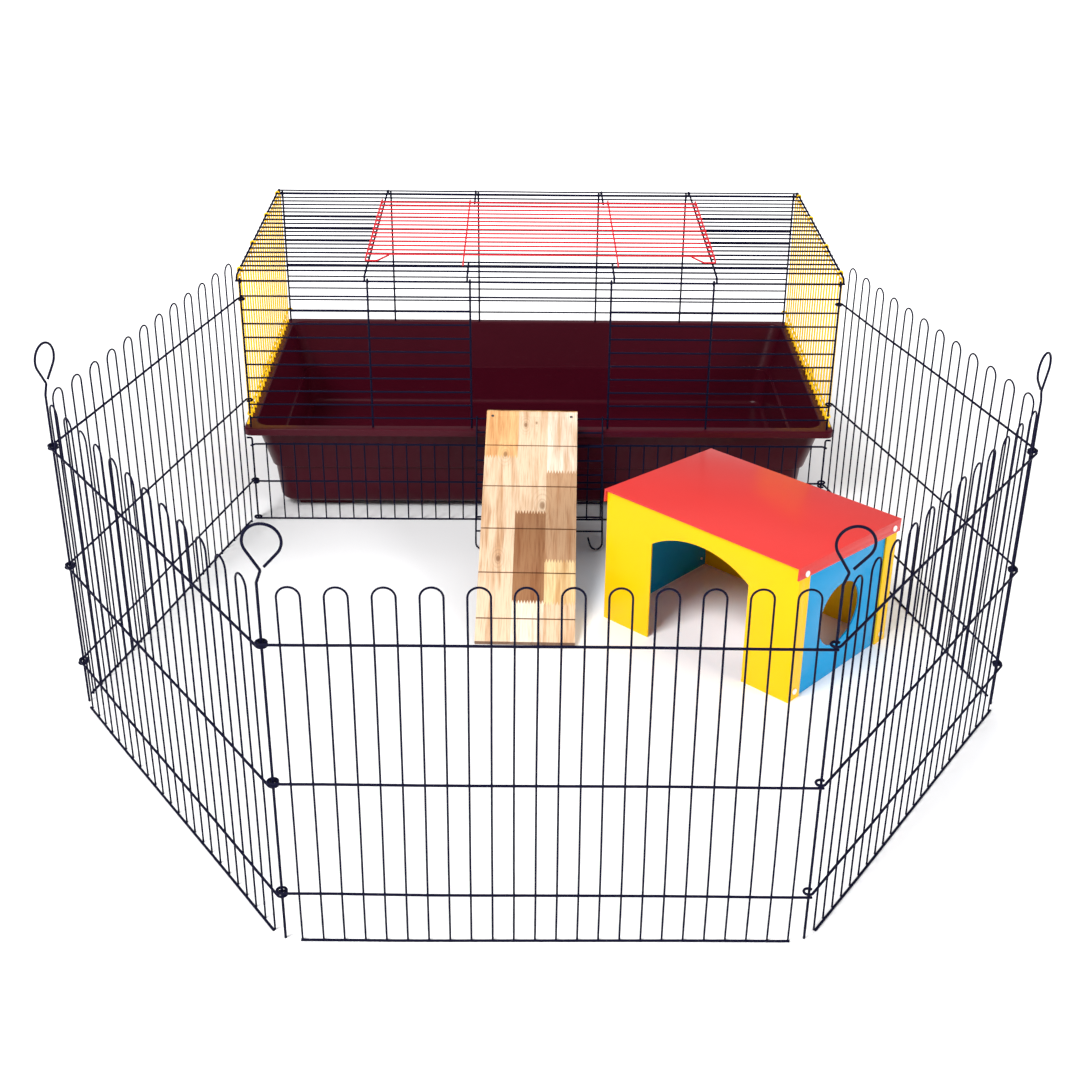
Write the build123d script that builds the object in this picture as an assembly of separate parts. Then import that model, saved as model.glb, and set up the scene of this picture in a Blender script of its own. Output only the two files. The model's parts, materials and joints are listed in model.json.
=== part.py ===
from build123d import *

import math
import os

# A pet playpen: a wire cage on a plastic tray, a folding wire run fixed to its
# front, a ramp up to the cage's front door, and a small house.
# Millimetres.  +X is the pen's right as it is looked at from the front, +Y runs
# from the front panel of the run to the back of the cage, +Z is up.  The origin
# is on the floor, in the middle of the whole pen's outline.

# ---------------------------------------------------------------- wire sizes
PITCH = 23.85                 # spacing of the wires in the cage's grilles
WIRE = 2.5                    # thin wire of the cage's grilles and doors
CROSS_WIRE = 3.0              # thicker wires that the thin ones are welded to
WELD = 0.15                   # depth that two welded wires sink into each other
WIRE_PAST = 1.0               # what a wire stands out past the last wire it is welded to
BUTT = 1.0                    # a butt-welded end stops this far off the other wire's middle
RUNNING_GAP = 0.7             # gap between a hinge loop and the wire inside it

# ---------------------------------------------------------------- tall fence panels
PANEL_LENGTH = 600.0          # between the axes of a panel's two stakes
PANEL_ROD = 3.0
HAIRPIN_WIRE = 2.2
HAIRPIN_PITCH = 48.7          # nearest spacing of the hairpins' middles
HAIRPIN_END = 32.15           # from a stake to the middle of the first hairpin
HAIRPIN_WIDTH = 24.4          # between the middles of a hairpin's legs
HAIRPIN_TOP = 467.6
ROD_HEIGHTS = (67.6, 219.6, 397.5)
ROD_LIFT = 1.7                # a rod's left eye is this much up, its right eye this much down
EYE_RADIUS = 5.5              # to the middle of the wrapped wire
EYE_TURN = 285.0              # how far round the stake an eye wraps
OPEN_EYE_TURN = 20.0          # the same for the gate panel's open ends
END_PROUD = 1.5               # what a bottom rod stands out past the last hairpin

# ---------------------------------------------------------------- plan of the run
CAGE_WIRES_ACROSS = 41        # pitches across the cage's front
CAGE_WIRES_DEEP = 22          # pitches from the cage's front to its back
FRONT_TURN = 55.05            # turn of a front side panel from the gate panel, in degrees
CORNER_X = PITCH * CAGE_WIRES_ACROSS / 2
CAGE_DEPTH = PITCH * CAGE_WIRES_DEEP
SIDE_STAKE_X = PANEL_LENGTH * (0.5 + math.cos(math.radians(FRONT_TURN)))
SIDE_STAKE_Y = PANEL_LENGTH * math.sin(math.radians(FRONT_TURN))
# the rear panels, as long as the others, reach from the side stakes to the cage's corner wires
CAGE_FRONT = SIDE_STAKE_Y + math.sqrt(PANEL_LENGTH ** 2 - (SIDE_STAKE_X - CORNER_X) ** 2)
CAGE_REAR = CAGE_FRONT + CAGE_DEPTH

# ---------------------------------------------------------------- stakes
STAKE = 3.0
STAKE_BEND = HAIRPIN_TOP + 2.4  # height where a stake starts to lean to its ring
RING_NECK = (5.0, STAKE_BEND + 14.0)      # where the ring starts, out from the stake and up
RING_CENTRE = (8.5, STAKE_BEND + 47.5)
RING_RADIUS = 20.0
RING_GAP = 6.0                # between the ring's end and its neck
NECK_BEND = 4.0
# place, and the direction in degrees that each ring lies in
STAKE_PLACES = {
    "stake_left": (-SIDE_STAKE_X, SIDE_STAKE_Y, 70.0),
    "stake_front_left": (-PANEL_LENGTH / 2, 0.0, 0.0),
    "stake_front_right": (PANEL_LENGTH / 2, 0.0, 0.0),
    "stake_right": (SIDE_STAKE_X, SIDE_STAKE_Y, -128.0),
}

# ---------------------------------------------------------------- tray
RIM_TOP = 172.5
RIM_DROP = 12.5               # height of the lip round the rim
RIM_OVER_SIDE = 11.1          # how far the rim stands out past the corner wires, at the sides
RIM_OVER_END = 10.5           # the same at the front and back
RIM_CORNER = 12.0
TRAY_WALL = 2.6
TRAY_FOOT = 12.0              # height of the feet, and so of the tray's underside
TRAY_STEP = 85.0              # height of the step in the walls
STEP_WIDTH = 4.0
# how far the walls stand in from the rim's edge: at the rim, over the step, at the floor
WALL_IN_TOP = 15.0
WALL_IN_STEP = 36.0
WALL_IN_FLOOR = 47.0
TRAY_CORNER = 26.0
FOOT_SIZE = (95.0, 42.0)
FOOT_IN_X = 124.0             # middle of a foot in from the rim's edge
FOOT_IN_Y = 88.0

# ---------------------------------------------------------------- cage grilles
SILL = RIM_TOP + 17.9         # middle of the front grille's lowest wire
FRONT_ROWS = 10
BAR_X = (115.0, 282.0)        # upright wires of the front and rear, from the middle
ROOF_BAR_OUT = 4.5            # a roof bar stands this much further out than the upright below it
ROOF_OVER_HOOKS = 11.1        # the roof's wires over the wires that the uprights hook on
ROOF_BEND = 10.0              # bend of the roof bars over the front and rear edges
HOOK_RADIUS = 3.3             # of the uprights' hooks over the roof's edge wires
HOOK_TAIL = 5.0
ROOF_WIRES = CAGE_WIRES_DEEP - 1
DOOR_FRONT_ROW = 2            # roof wires that frame the roof door
DOOR_REAR_ROW = 17
SIDE_OUT = 4.8                # the side grilles stand this much out of the corner wires
SIDE_LOW_ROD = RIM_TOP + 23.5
SIDE_TOP_DOWN = 0.9           # the side's top rod under the front's hooked wire
SIDE_HOOK_ROWS = (0.5, 6.5, 13.5, 19.5)
SIDE_BOTTOM_ROD = 3.5

# ---------------------------------------------------------------- roof door
LATCH_IN = 20.0
LATCH_BACK = (17.0, 30.0)
ROOF_DOOR_INNER_X = 128.0
ROOF_DOOR_TIP = 17.0          # how far the inner bars stand past the frame wire
ROOF_DOOR_SIDE_TIP = 4.0

# ---------------------------------------------------------------- front door
FRONT_DOOR_IN = 9.0           # its side wires stand this far in from the doorway's uprights
FRONT_DOOR_BARS = 8
FRONT_DOOR_PAST = 6.35        # its latch hooks stand this much past the doorway's head wire
FRONT_DOOR_REACH = (FRONT_DOOR_BARS + 1) * PITCH + FRONT_DOOR_PAST
FRONT_DOOR_FLOOR_GAP = 0.97   # between the let-down door's reach and the floor
DOOR_LEAN_LEAST = 25.0        # a let-down door clears the rim by leaning out this much
J_WIDTH = 24.0
J_BEND = 11.0
J_BACK = 20.0

# ---------------------------------------------------------------- side clips
CLIP_WIDTH = 16.0
CLIP_PIN = 2.5
CLIP_PIN_OUT = 4.2            # pin's middle out of the rim's edge
CLIP_PIN_DOWN = 7.5           # pin's middle under the rim's top
CLIP_HOLE_GAP = 0.25
CLIP_THICK = 2.2
CLIP_SIDE_GAP = 0.5
CLIP_LUG = 3.5

# ---------------------------------------------------------------- skirt grille
SKIRT_HEIGHTS = (1.5, 72.7, RIM_TOP - 30.0)
SKIRT_PIN_TOP = RIM_TOP - 20.5
SKIRT_HOOK = 9.0

# ---------------------------------------------------------------- ramp
RAMP_WIDTH = 152.0
RAMP_LENGTH = 462.0
RAMP_THICK = 9.0
RAMP_SEAT_IN = 0.4            # the sill wire carries the ramp this far in from the board's end
RAMP_YAW = 1.6
RAMP_X = -12.5                # middle of the ramp at the sill
BATTEN_THICK = 7.0
BATTEN_UNDER = 22.0           # under the board
BATTEN_PAST = 10.0            # past the board's end, over the sill wire
SEAT_GAP = 0.1
SLOPE_ROUNDS = 12             # rounds in which the slope settles
GROOVES = 5
GROOVE_FIRST = 42.0
GROOVE_SPACING = 86.3
GROOVE_WIDTH = 2.5
GROOVE_DEPTH = 1.5
NAIL = 1.8
NAIL_HOLE = 2.0
NAIL_HEAD = 4.6
NAIL_HEAD_THICK = 0.8
NAIL_IN_SIDE = 10.0
NAIL_IN_END = 11.0

# ---------------------------------------------------------------- house
HOUSE_CORNER = (99.4, CAGE_FRONT - 337.9)  # foot of the front wall's left edge
HOUSE_TURN = -43.8
HOUSE_LENGTH = 350.0
HOUSE_DEPTH = 251.5
HOUSE_FRONT_HEIGHT = 222.7    # top of the roof over its front edge
HOUSE_FALL = 17.4             # the roof's rear edge is this much lower
HOUSE_REAR_HEIGHT = HOUSE_FRONT_HEIGHT - HOUSE_FALL
SHEET = 2.5
ROOF_OVERHANG = 4.0
ROOF_FLANGE = 20.0
WALL_FLANGE = 27.5
PART_GAP = 0.2                # between two sheets of the house
ARCH_LEFT = 88.4              # from the front's left edge
ARCH_RIGHT = 83.2             # from the front's right edge
ARCH_TOP = HOUSE_FRONT_HEIGHT - 32.7
ARCH_SPRING = ARCH_TOP - 28.5
WINDOW = 100.0
WINDOW_PLACE = (118.0, 99.0)  # back from the front wall, and up
SCREW = 4.0
SCREW_HOLE = 4.4
SCREW_HEAD = 9.0
SCREW_HEAD_THICK = 2.0
SCREW_REACH = 7.0             # shank length under the head
SCREW_IN = 14.0               # from a flange's free edge of the wall, and up from the floor

parts = {}

# ---------------------------------------------------------------- worked-out places
ROD_OUT = EYE_RADIUS
WIRES_IN = EYE_RADIUS - (PANEL_ROD + HAIRPIN_WIRE) / 2 + WELD
FRONT_MOST = -(ROD_OUT + PANEL_ROD / 2)
REAR_MOST = CAGE_REAR + RIM_OVER_END
SHIFT_Y = -(FRONT_MOST + REAR_MOST) / 2
CAGE_MIDDLE = (CAGE_FRONT + CAGE_REAR) / 2
RIM_X = CORNER_X + RIM_OVER_SIDE
RIM_HALF_Y = CAGE_DEPTH / 2 + RIM_OVER_END
ROW_OUT = (CROSS_WIRE + WIRE) / 2 - WELD
FRONT_ROW_Y = CAGE_FRONT - ROW_OUT
HOOK_WIRE_Z = SILL + FRONT_ROWS * PITCH
SIDE_TOP_ROD = HOOK_WIRE_Z - SIDE_TOP_DOWN
ROOF_TOP = HOOK_WIRE_Z + ROOF_OVER_HOOKS
ROOF_BAR_Z = ROOF_TOP - ROW_OUT
FRONT_DOOR_X = BAR_X[0] - FRONT_DOOR_IN
DOOR_DROP = min(1.0, (SILL - FRONT_DOOR_FLOOR_GAP) / FRONT_DOOR_REACH)
FRONT_DOOR_OPEN = 180.0 - max(math.degrees(math.acos(DOOR_DROP)), DOOR_LEAN_LEAST)
HAIRPIN_COUNT = round((PANEL_LENGTH - 2 * HAIRPIN_END) / HAIRPIN_PITCH) + 1
HAIRPIN_SPACING = (PANEL_LENGTH - 2 * HAIRPIN_END) / (HAIRPIN_COUNT - 1)
ROOF_X = CORNER_X + SIDE_OUT
LOOP_RADIUS = WIRE + RUNNING_GAP


def roof_row_y(row):
    """Where a roof wire lies; row 0 is the wire next to the front edge."""
    return CAGE_FRONT + (row + 1) * PITCH


def straight(start, end, diameter):
    """A straight round wire."""
    axis = Vector(*end) - Vector(*start)
    return Solid.make_cylinder(diameter / 2, axis.length, Plane(origin=start, z_dir=axis))


def bent(path, diameter):
    """A round wire along a path."""
    start = Plane(origin=path @ 0, z_dir=path % 0)
    return sweep(start * Circle(diameter / 2), path=path).solids()[0]


def filleted(points, radius, diameter):
    """A round wire through straight runs joined by bends."""
    return bent(FilletPolyline(*points, radius=radius), diameter)


def weld(wires):
    """Wires joined where they touch, as one solid."""
    return wires[0].fuse(*wires[1:]).solids()[0]


def write(name, shape):
    """Keeps a sub-part, moved from the run's front to the pen's middle."""
    parts[name] = Pos(0, SHIFT_Y, 0) * shape


# ---------------------------------------------------------------- run
def eyed_rod(height, right_turn):
    """A rod whose ends wrap round the stakes; it leans by a wire, so neighbours' eyes stack."""
    left = CenterArc((0, 0, 0), EYE_RADIUS, 270, -EYE_TURN)
    run = Line((0, -EYE_RADIUS, 0), (PANEL_LENGTH, -EYE_RADIUS, 0))
    right = CenterArc((PANEL_LENGTH, 0, 0), EYE_RADIUS, 270, right_turn)
    rod = bent(Wire(left.edges() + run.edges() + right.edges()), PANEL_ROD)
    lean = math.degrees(math.atan2(2 * ROD_LIFT, PANEL_LENGTH))
    middle = Pos(PANEL_LENGTH / 2, 0, height)
    return middle * Rot(0, lean, 0) * Pos(-PANEL_LENGTH / 2, 0, 0) * rod


def hairpin(middle):
    """An upright hairpin: two legs and a round top."""
    half = HAIRPIN_WIDTH / 2
    spring = HAIRPIN_TOP - HAIRPIN_WIRE / 2 - half
    low = (middle - half, -WIRES_IN, 0)
    left = (middle - half, -WIRES_IN, spring)
    top = (middle, -WIRES_IN, spring + half)
    right = (middle + half, -WIRES_IN, spring)
    foot = (middle + half, -WIRES_IN, 0)
    edges = Line(low, left).edges() + ThreePointArc(left, top, right).edges() + Line(right, foot).edges()
    return bent(Wire(edges), HAIRPIN_WIRE)


def fence_panel(right_turn=EYE_TURN):
    """A tall panel, from its left stake at the origin to its right stake, outer side to -Y."""
    wires = [eyed_rod(height, right_turn) for height in ROD_HEIGHTS]
    wires += [hairpin(HAIRPIN_END + HAIRPIN_SPACING * i) for i in range(HAIRPIN_COUNT)]
    end = HAIRPIN_END - HAIRPIN_WIDTH / 2 - END_PROUD
    level = PANEL_ROD / 2
    wires.append(straight((end, -ROD_OUT, level), (PANEL_LENGTH - end, -ROD_OUT, level), PANEL_ROD))
    return weld(wires)


def stake():
    """A hinge pin of the run: a straight wire with a teardrop ring on top, ring along +X."""
    neck_x, neck_z = RING_NECK
    middle_x, middle_z = RING_CENTRE
    reach = math.hypot(middle_x - neck_x, middle_z - neck_z)
    lean = math.atan2(middle_x - neck_x, middle_z - neck_z)
    half = math.asin(RING_RADIUS / reach)
    run = reach * math.cos(half)

    def along(angle, length):
        return (neck_x + length * math.sin(angle), 0, neck_z + length * math.cos(angle))

    up = along(lean - half, run)
    down = along(lean + half, run)
    end = along(lean + half, RING_GAP)
    top = (middle_x, 0, middle_z + RING_RADIUS)
    stem = FilletPolyline((0, 0, 0), (0, 0, STAKE_BEND), (neck_x, 0, neck_z), up, radius=NECK_BEND)
    edges = stem.edges() + ThreePointArc(up, top, down).edges() + Line(down, end).edges()
    return bent(Wire(edges), STAKE)


def skirt_grille():
    """The low panel under the tray's front, looped round its two pins."""
    low, middle, top = SKIRT_HEIGHTS
    level = CAGE_FRONT - ROD_OUT
    wires = []
    for height in (low, middle):
        left = CenterArc((-CORNER_X, CAGE_FRONT, height), EYE_RADIUS, 270, -EYE_TURN)
        run = Line((-CORNER_X, level, height), (CORNER_X, level, height))
        right = CenterArc((CORNER_X, CAGE_FRONT, height), EYE_RADIUS, 270, EYE_TURN)
        wires.append(bent(Wire(left.edges() + run.edges() + right.edges()), PANEL_ROD))
    bend = CORNER_X - ROD_OUT
    tip = bend + SKIRT_HOOK / math.sqrt(2)
    front = level - SKIRT_HOOK / math.sqrt(2)
    points = [(-tip, front, top), (-bend, level, top), (bend, level, top), (tip, front, top)]
    wires.append(filleted(points, PANEL_ROD, PANEL_ROD))
    inner = CAGE_FRONT - WIRES_IN
    for i in range(1, CAGE_WIRES_ACROSS):
        x = -CORNER_X + i * PITCH
        wires.append(straight((x, inner, 0), (x, inner, top + PANEL_ROD / 2), HAIRPIN_WIRE))
    return weld(wires)


def skirt_pin(side):
    """The pin at one end of the skirt, hooked over at the top."""
    x = side * CORNER_X
    over = side * SKIRT_HOOK
    points = [(x, CAGE_FRONT, 0), (x, CAGE_FRONT, SKIRT_PIN_TOP), (x + over, CAGE_FRONT, SKIRT_PIN_TOP)]
    return filleted(points, PANEL_ROD, PANEL_ROD)


# ---------------------------------------------------------------- tray
def tray_section(inset, height, corner):
    """The tray's outline at one height, this far in from the rim's edge."""
    size = (2 * (RIM_X - inset), 2 * (RIM_HALF_Y - inset))
    return Pos(0, CAGE_MIDDLE, height) * RectangleRounded(*size, corner)


def tray_body(shrink, floor):
    """The tray's walls as a solid block, shrunk by a wall for its hollow."""
    step_in = WALL_IN_STEP + STEP_WIDTH
    low = loft([tray_section(WALL_IN_FLOOR + shrink, floor, TRAY_CORNER),
                tray_section(step_in + shrink, TRAY_STEP + shrink, TRAY_CORNER)], ruled=True)
    high = loft([tray_section(WALL_IN_STEP + shrink, TRAY_STEP + shrink, TRAY_CORNER),
                 tray_section(WALL_IN_TOP + shrink, RIM_TOP, TRAY_CORNER)], ruled=True)
    return low + high


def tray_foot(side_x, side_y):
    """One foot under the tray's floor."""
    x = side_x * (RIM_X - FOOT_IN_X)
    y = CAGE_MIDDLE + side_y * (RIM_HALF_Y - FOOT_IN_Y)
    pad = Pos(x, y, TRAY_FOOT / 2 + WELD) * Box(*FOOT_SIZE, TRAY_FOOT + 2 * WELD)
    return chamfer(pad.edges().group_by(Axis.Z)[0], TRAY_WALL)


def clip_lugs(side):
    """The two ears on the rim that hold a clip's pin."""
    x = side * (RIM_X + CLIP_PIN_OUT)
    z = RIM_TOP - CLIP_PIN_DOWN
    ears = []
    for way in (-1, 1):
        y = CAGE_MIDDLE + way * (CLIP_WIDTH / 2 + CLIP_SIDE_GAP + CLIP_LUG / 2)
        round_end = Pos(x, y, z) * Rot(90, 0, 0) * Cylinder(CLIP_PIN, CLIP_LUG)
        root = Pos(x - side * CLIP_PIN_OUT / 2, y, z) * Box(CLIP_PIN_OUT + 2 * WELD, CLIP_LUG, 2 * CLIP_PIN)
        hole = Pos(x, y, z) * Rot(90, 0, 0) * Cylinder(CLIP_PIN / 2, 2 * CLIP_LUG)
        ears.append(round_end + root - hole)
    return ears


def tray():
    """The plastic base: sloping walls with a step, a flat rim with a lip, and four feet."""
    walls = tray_body(0, TRAY_FOOT) - tray_body(TRAY_WALL, TRAY_FOOT + TRAY_WALL)
    ledge = extrude(tray_section(0, RIM_TOP - TRAY_WALL, RIM_CORNER), TRAY_WALL)
    ledge -= extrude(tray_section(WALL_IN_TOP + TRAY_WALL / 2, RIM_TOP - 2 * TRAY_WALL, TRAY_CORNER), RIM_DROP)
    lip = extrude(tray_section(0, RIM_TOP - RIM_DROP, RIM_CORNER), RIM_DROP)
    lip -= extrude(tray_section(TRAY_WALL, 0, RIM_CORNER - TRAY_WALL), RIM_TOP * 2)
    body = walls + ledge + lip
    for side_x in (-1, 1):
        for side_y in (-1, 1):
            body += tray_foot(side_x, side_y)
        for ear in clip_lugs(side_x):
            body += ear
    return body


def clip(side):
    """A lever on the rim that hooks over the side grille's bottom rod."""
    pin_x = RIM_X + CLIP_PIN_OUT
    pin_z = RIM_TOP - CLIP_PIN_DOWN
    rod_top = RIM_TOP + SIDE_BOTTOM_ROD
    grip = (pin_x + CLIP_PIN, pin_z - 2 * CLIP_PIN)
    hook_in = ROOF_X - SIDE_BOTTOM_ROD
    under = rod_top + CLIP_HOLE_GAP * 4
    outline = Polyline(
        (grip[0], 0, grip[1]), (grip[0], 0, under + CLIP_THICK), (hook_in, 0, under + CLIP_THICK),
        (hook_in, 0, under), (pin_x - CLIP_PIN + CLIP_THICK, 0, under),
        (pin_x - CLIP_PIN + CLIP_THICK, 0, pin_z), (grip[0] - CLIP_THICK, 0, grip[1]), close=True)
    plate = extrude(make_face(outline), CLIP_WIDTH / 2, both=True)
    barrel = Pos(pin_x, 0, pin_z) * Rot(90, 0, 0) * Cylinder(CLIP_PIN, CLIP_WIDTH)
    bore = Pos(pin_x, 0, pin_z) * Rot(90, 0, 0) * Cylinder(CLIP_PIN / 2 + CLIP_HOLE_GAP, 2 * CLIP_WIDTH)
    lever = Pos(0, CAGE_MIDDLE, 0) * (plate + barrel - bore)
    return lever if side > 0 else mirror(lever, Plane.YZ)


def clip_pin(side):
    """The pin that a clip turns on, pressed into the rim's ears."""
    length = CLIP_WIDTH + 2 * (CLIP_SIDE_GAP + CLIP_LUG)
    place = Pos(side * (RIM_X + CLIP_PIN_OUT), CAGE_MIDDLE, RIM_TOP - CLIP_PIN_DOWN)
    return place * Rot(90, 0, 0) * Cylinder(CLIP_PIN / 2, length)


# ---------------------------------------------------------------- cage top
def upright(x, y, inward):
    """An upright of the front or rear grille, hooked over the roof's edge wire."""
    edge = y + inward * HOOK_RADIUS
    tail = y + inward * 2 * HOOK_RADIUS
    foot = (x, y, RIM_TOP)
    shoulder = (x, y, HOOK_WIRE_Z)
    top = (x, edge, HOOK_WIRE_Z + HOOK_RADIUS)
    over = (x, tail, HOOK_WIRE_Z)
    end = (x, tail, HOOK_WIRE_Z - HOOK_TAIL)
    edges = Line(foot, shoulder).edges() + ThreePointArc(shoulder, top, over).edges() + Line(over, end).edges()
    return bent(Wire(edges), CROSS_WIRE)


def upright_places():
    """The uprights of the front and rear grilles, from left to right."""
    inner, outer = BAR_X
    return (-CORNER_X, -outer, -inner, inner, outer, CORNER_X)


def end_grille(y, row_y, inward, doorway):
    """The front or rear grille; the front one leaves its doorway open."""
    wires = [upright(x, y, inward) for x in upright_places()]
    frame = BAR_X[0] - WIRE_PAST
    end = CORNER_X + WIRE_PAST
    for row in range(FRONT_ROWS):
        z = SILL + row * PITCH
        if doorway and 0 < row < FRONT_ROWS - 1:
            wires.append(straight((-end, row_y, z), (-frame, row_y, z), WIRE))
            wires.append(straight((frame, row_y, z), (end, row_y, z), WIRE))
        else:
            wires.append(straight((-end, row_y, z), (end, row_y, z), WIRE))
    return weld(wires)


def roof_bar(x, front_row, rear_row):
    """A bar of the roof from front to back, bent down at an edge that it reaches."""
    front = CAGE_FRONT + HOOK_RADIUS
    rear = CAGE_REAR - HOOK_RADIUS
    points = []
    if front_row is None:
        points += [(x, front, HOOK_WIRE_Z + BUTT), (x, front, ROOF_BAR_Z)]
    else:
        points.append((x, roof_row_y(front_row) - WIRE / 2, ROOF_BAR_Z))
    if rear_row is None:
        points += [(x, rear, ROOF_BAR_Z), (x, rear, HOOK_WIRE_Z + BUTT)]
    else:
        points.append((x, roof_row_y(rear_row) + WIRE / 2, ROOF_BAR_Z))
    return filleted(points, ROOF_BAR_Z - HOOK_WIRE_Z - BUTT - WELD, CROSS_WIRE)


def roof_grille():
    """The cage's roof: wires across, bars from front to back, and the door's opening."""
    inner, outer = (x + ROOF_BAR_OUT for x in BAR_X)
    wires = [roof_bar(x, None, None) for x in (-ROOF_X, -outer, outer, ROOF_X)]
    for x in (-inner, inner):
        wires.append(roof_bar(x, None, DOOR_FRONT_ROW))
        wires.append(roof_bar(x, DOOR_REAR_ROW, None))
    end = ROOF_X + WIRE_PAST
    edge_end = end + CROSS_WIRE / 2
    for y in (CAGE_FRONT + HOOK_RADIUS, CAGE_REAR - HOOK_RADIUS):
        wires.append(straight((-edge_end, y, HOOK_WIRE_Z), (edge_end, y, HOOK_WIRE_Z), CROSS_WIRE))
    for row in range(ROOF_WIRES):
        y = roof_row_y(row)
        if DOOR_FRONT_ROW < row < DOOR_REAR_ROW:
            frame = outer - WIRE_PAST
            wires.append(straight((-end, y, ROOF_TOP), (-frame, y, ROOF_TOP), WIRE))
            wires.append(straight((frame, y, ROOF_TOP), (end, y, ROOF_TOP), WIRE))
        else:
            wires.append(straight((-end, y, ROOF_TOP), (end, y, ROOF_TOP), WIRE))
    return weld(wires)


def side_hook(x, y):
    """A hook of a side grille over the roof's edge bar."""
    points_x = (x + HOOK_RADIUS, x, x - HOOK_RADIUS)
    low = (points_x[0], y, SIDE_TOP_ROD - 2 * HOOK_TAIL)
    rise = (points_x[0], y, ROOF_BAR_Z)
    top = (points_x[1], y, ROOF_BAR_Z + HOOK_RADIUS)
    over = (points_x[2], y, ROOF_BAR_Z)
    end = (points_x[2], y, ROOF_BAR_Z - HOOK_TAIL)
    edges = Line(low, rise).edges() + ThreePointArc(rise, top, over).edges() + Line(over, end).edges()
    return bent(Wire(edges), WIRE)


def side_grille(side):
    """A side of the cage, drawn for the right and mirrored for the left."""
    rod_x = ROOF_X + HOOK_RADIUS - WIRE + WELD
    wire_x = rod_x - WIRE + WELD
    wires = []
    for i in range(CAGE_WIRES_DEEP):
        y = CAGE_FRONT + (i + 0.5) * PITCH
        wires.append(straight((wire_x, y, RIM_TOP + WELD), (wire_x, y, SIDE_TOP_ROD + WIRE / 2), WIRE))
    first = CAGE_FRONT + PITCH / 2 - WIRE
    last = CAGE_REAR - PITCH / 2 + WIRE
    wires.append(straight((rod_x, first, SIDE_TOP_ROD), (rod_x, last, SIDE_TOP_ROD), WIRE))
    bottom_z = RIM_TOP + SIDE_BOTTOM_ROD / 2
    bottom_x = wire_x + (SIDE_BOTTOM_ROD + WIRE) / 2 - WELD
    wires.append(straight((bottom_x, first, bottom_z), (bottom_x, last, bottom_z), SIDE_BOTTOM_ROD))
    wrap = (CROSS_WIRE + WIRE) / 2 + RUNNING_GAP
    out_x = CORNER_X + wrap
    in_x = CORNER_X - wrap
    hooked = [
        (in_x, CAGE_FRONT, SIDE_LOW_ROD), (in_x, CAGE_FRONT - wrap, SIDE_LOW_ROD),
        (out_x, CAGE_FRONT - wrap, SIDE_LOW_ROD), (out_x, CAGE_REAR + wrap, SIDE_LOW_ROD),
        (in_x, CAGE_REAR + wrap, SIDE_LOW_ROD), (in_x, CAGE_REAR, SIDE_LOW_ROD)]
    wires.append(filleted(hooked, wrap - WELD, WIRE))
    for row in SIDE_HOOK_ROWS:
        wires.append(side_hook(ROOF_X, roof_row_y(row)))
    grille = weld(wires)
    return grille if side > 0 else mirror(grille, Plane.YZ)


# ---------------------------------------------------------------- doors
def loop_edges(middle, start_angle, turn, plane_x):
    """Part of a ring in the plane x = plane_x round a hinge wire, at LOOP_RADIUS."""
    y, z = middle

    def at(angle):
        radians = math.radians(angle)
        return (plane_x, y + LOOP_RADIUS * math.cos(radians), z + LOOP_RADIUS * math.sin(radians))

    return ThreePointArc(at(start_angle), at(start_angle + turn / 2), at(start_angle + turn)).edges()


def roof_door():
    """The red door over the roof's opening, shut; its loops go round the frame's rear wire."""
    hinge = (roof_row_y(DOOR_REAR_ROW), ROOF_TOP)
    level = ROOF_TOP + LOOP_RADIUS
    front = roof_row_y(DOOR_FRONT_ROW)
    side_x = BAR_X[1] + ROOF_BAR_OUT + (CROSS_WIRE + WIRE) / 2 + 2 * RUNNING_GAP
    wires = []
    for way in (-1, 1):
        x = way * side_x
        tip = front - ROOF_DOOR_SIDE_TIP
        latch = [
            (x, hinge[0], level), (x, tip, level), (x - way * LATCH_IN, tip, level),
            (x - way * (LATCH_IN + LATCH_BACK[0]), tip + LATCH_BACK[1], level)]
        path = FilletPolyline(*latch, radius=2 * WIRE)
        wires.append(bent(Wire(loop_edges(hinge, 90, -EYE_TURN, x) + path.edges()), WIRE))
        x = way * ROOF_DOOR_INNER_X
        tip = front - ROOF_DOOR_TIP
        path = FilletPolyline((x, hinge[0], level), (x, tip, level), (x, tip, level - 2 * WIRE), radius=WIRE)
        wires.append(bent(Wire(loop_edges(hinge, 90, -EYE_TURN, x) + path.edges()), WIRE))
    top = level + WIRE - WELD
    for row in range(DOOR_FRONT_ROW + 1, DOOR_REAR_ROW):
        y = roof_row_y(row)
        wires.append(straight((-side_x - WIRE / 2, y, top), (side_x + WIRE / 2, y, top), WIRE))
    return weld(wires)


def front_door():
    """The door of the cage's front, let down to the floor; its loops go round the sill wire."""
    hinge = (FRONT_ROW_Y, SILL)
    level = FRONT_ROW_Y + LOOP_RADIUS
    wires = []
    for way in (-1, 1):
        x = way * FRONT_DOOR_X
        top = SILL + FRONT_DOOR_REACH
        tip_x = x - way * J_WIDTH
        points = [
            (x, level, SILL), (x, level, top), (tip_x + way * J_WIDTH / 4, level, top),
            (tip_x, level, top - J_BACK)]
        path = FilletPolyline(*points, radius=J_BEND)
        wires.append(bent(Wire(loop_edges(hinge, 0, -EYE_TURN, x) + path.edges()), WIRE))
    inner = level + WIRE - WELD
    for i in range(1, FRONT_DOOR_BARS + 1):
        z = SILL + i * PITCH
        wires.append(straight((-FRONT_DOOR_X - WIRE / 2, inner, z), (FRONT_DOOR_X + WIRE / 2, inner, z), WIRE))
    axis = Axis((0, FRONT_ROW_Y, SILL), (1, 0, 0))
    return weld(wires).rotate(axis, FRONT_DOOR_OPEN)


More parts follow.
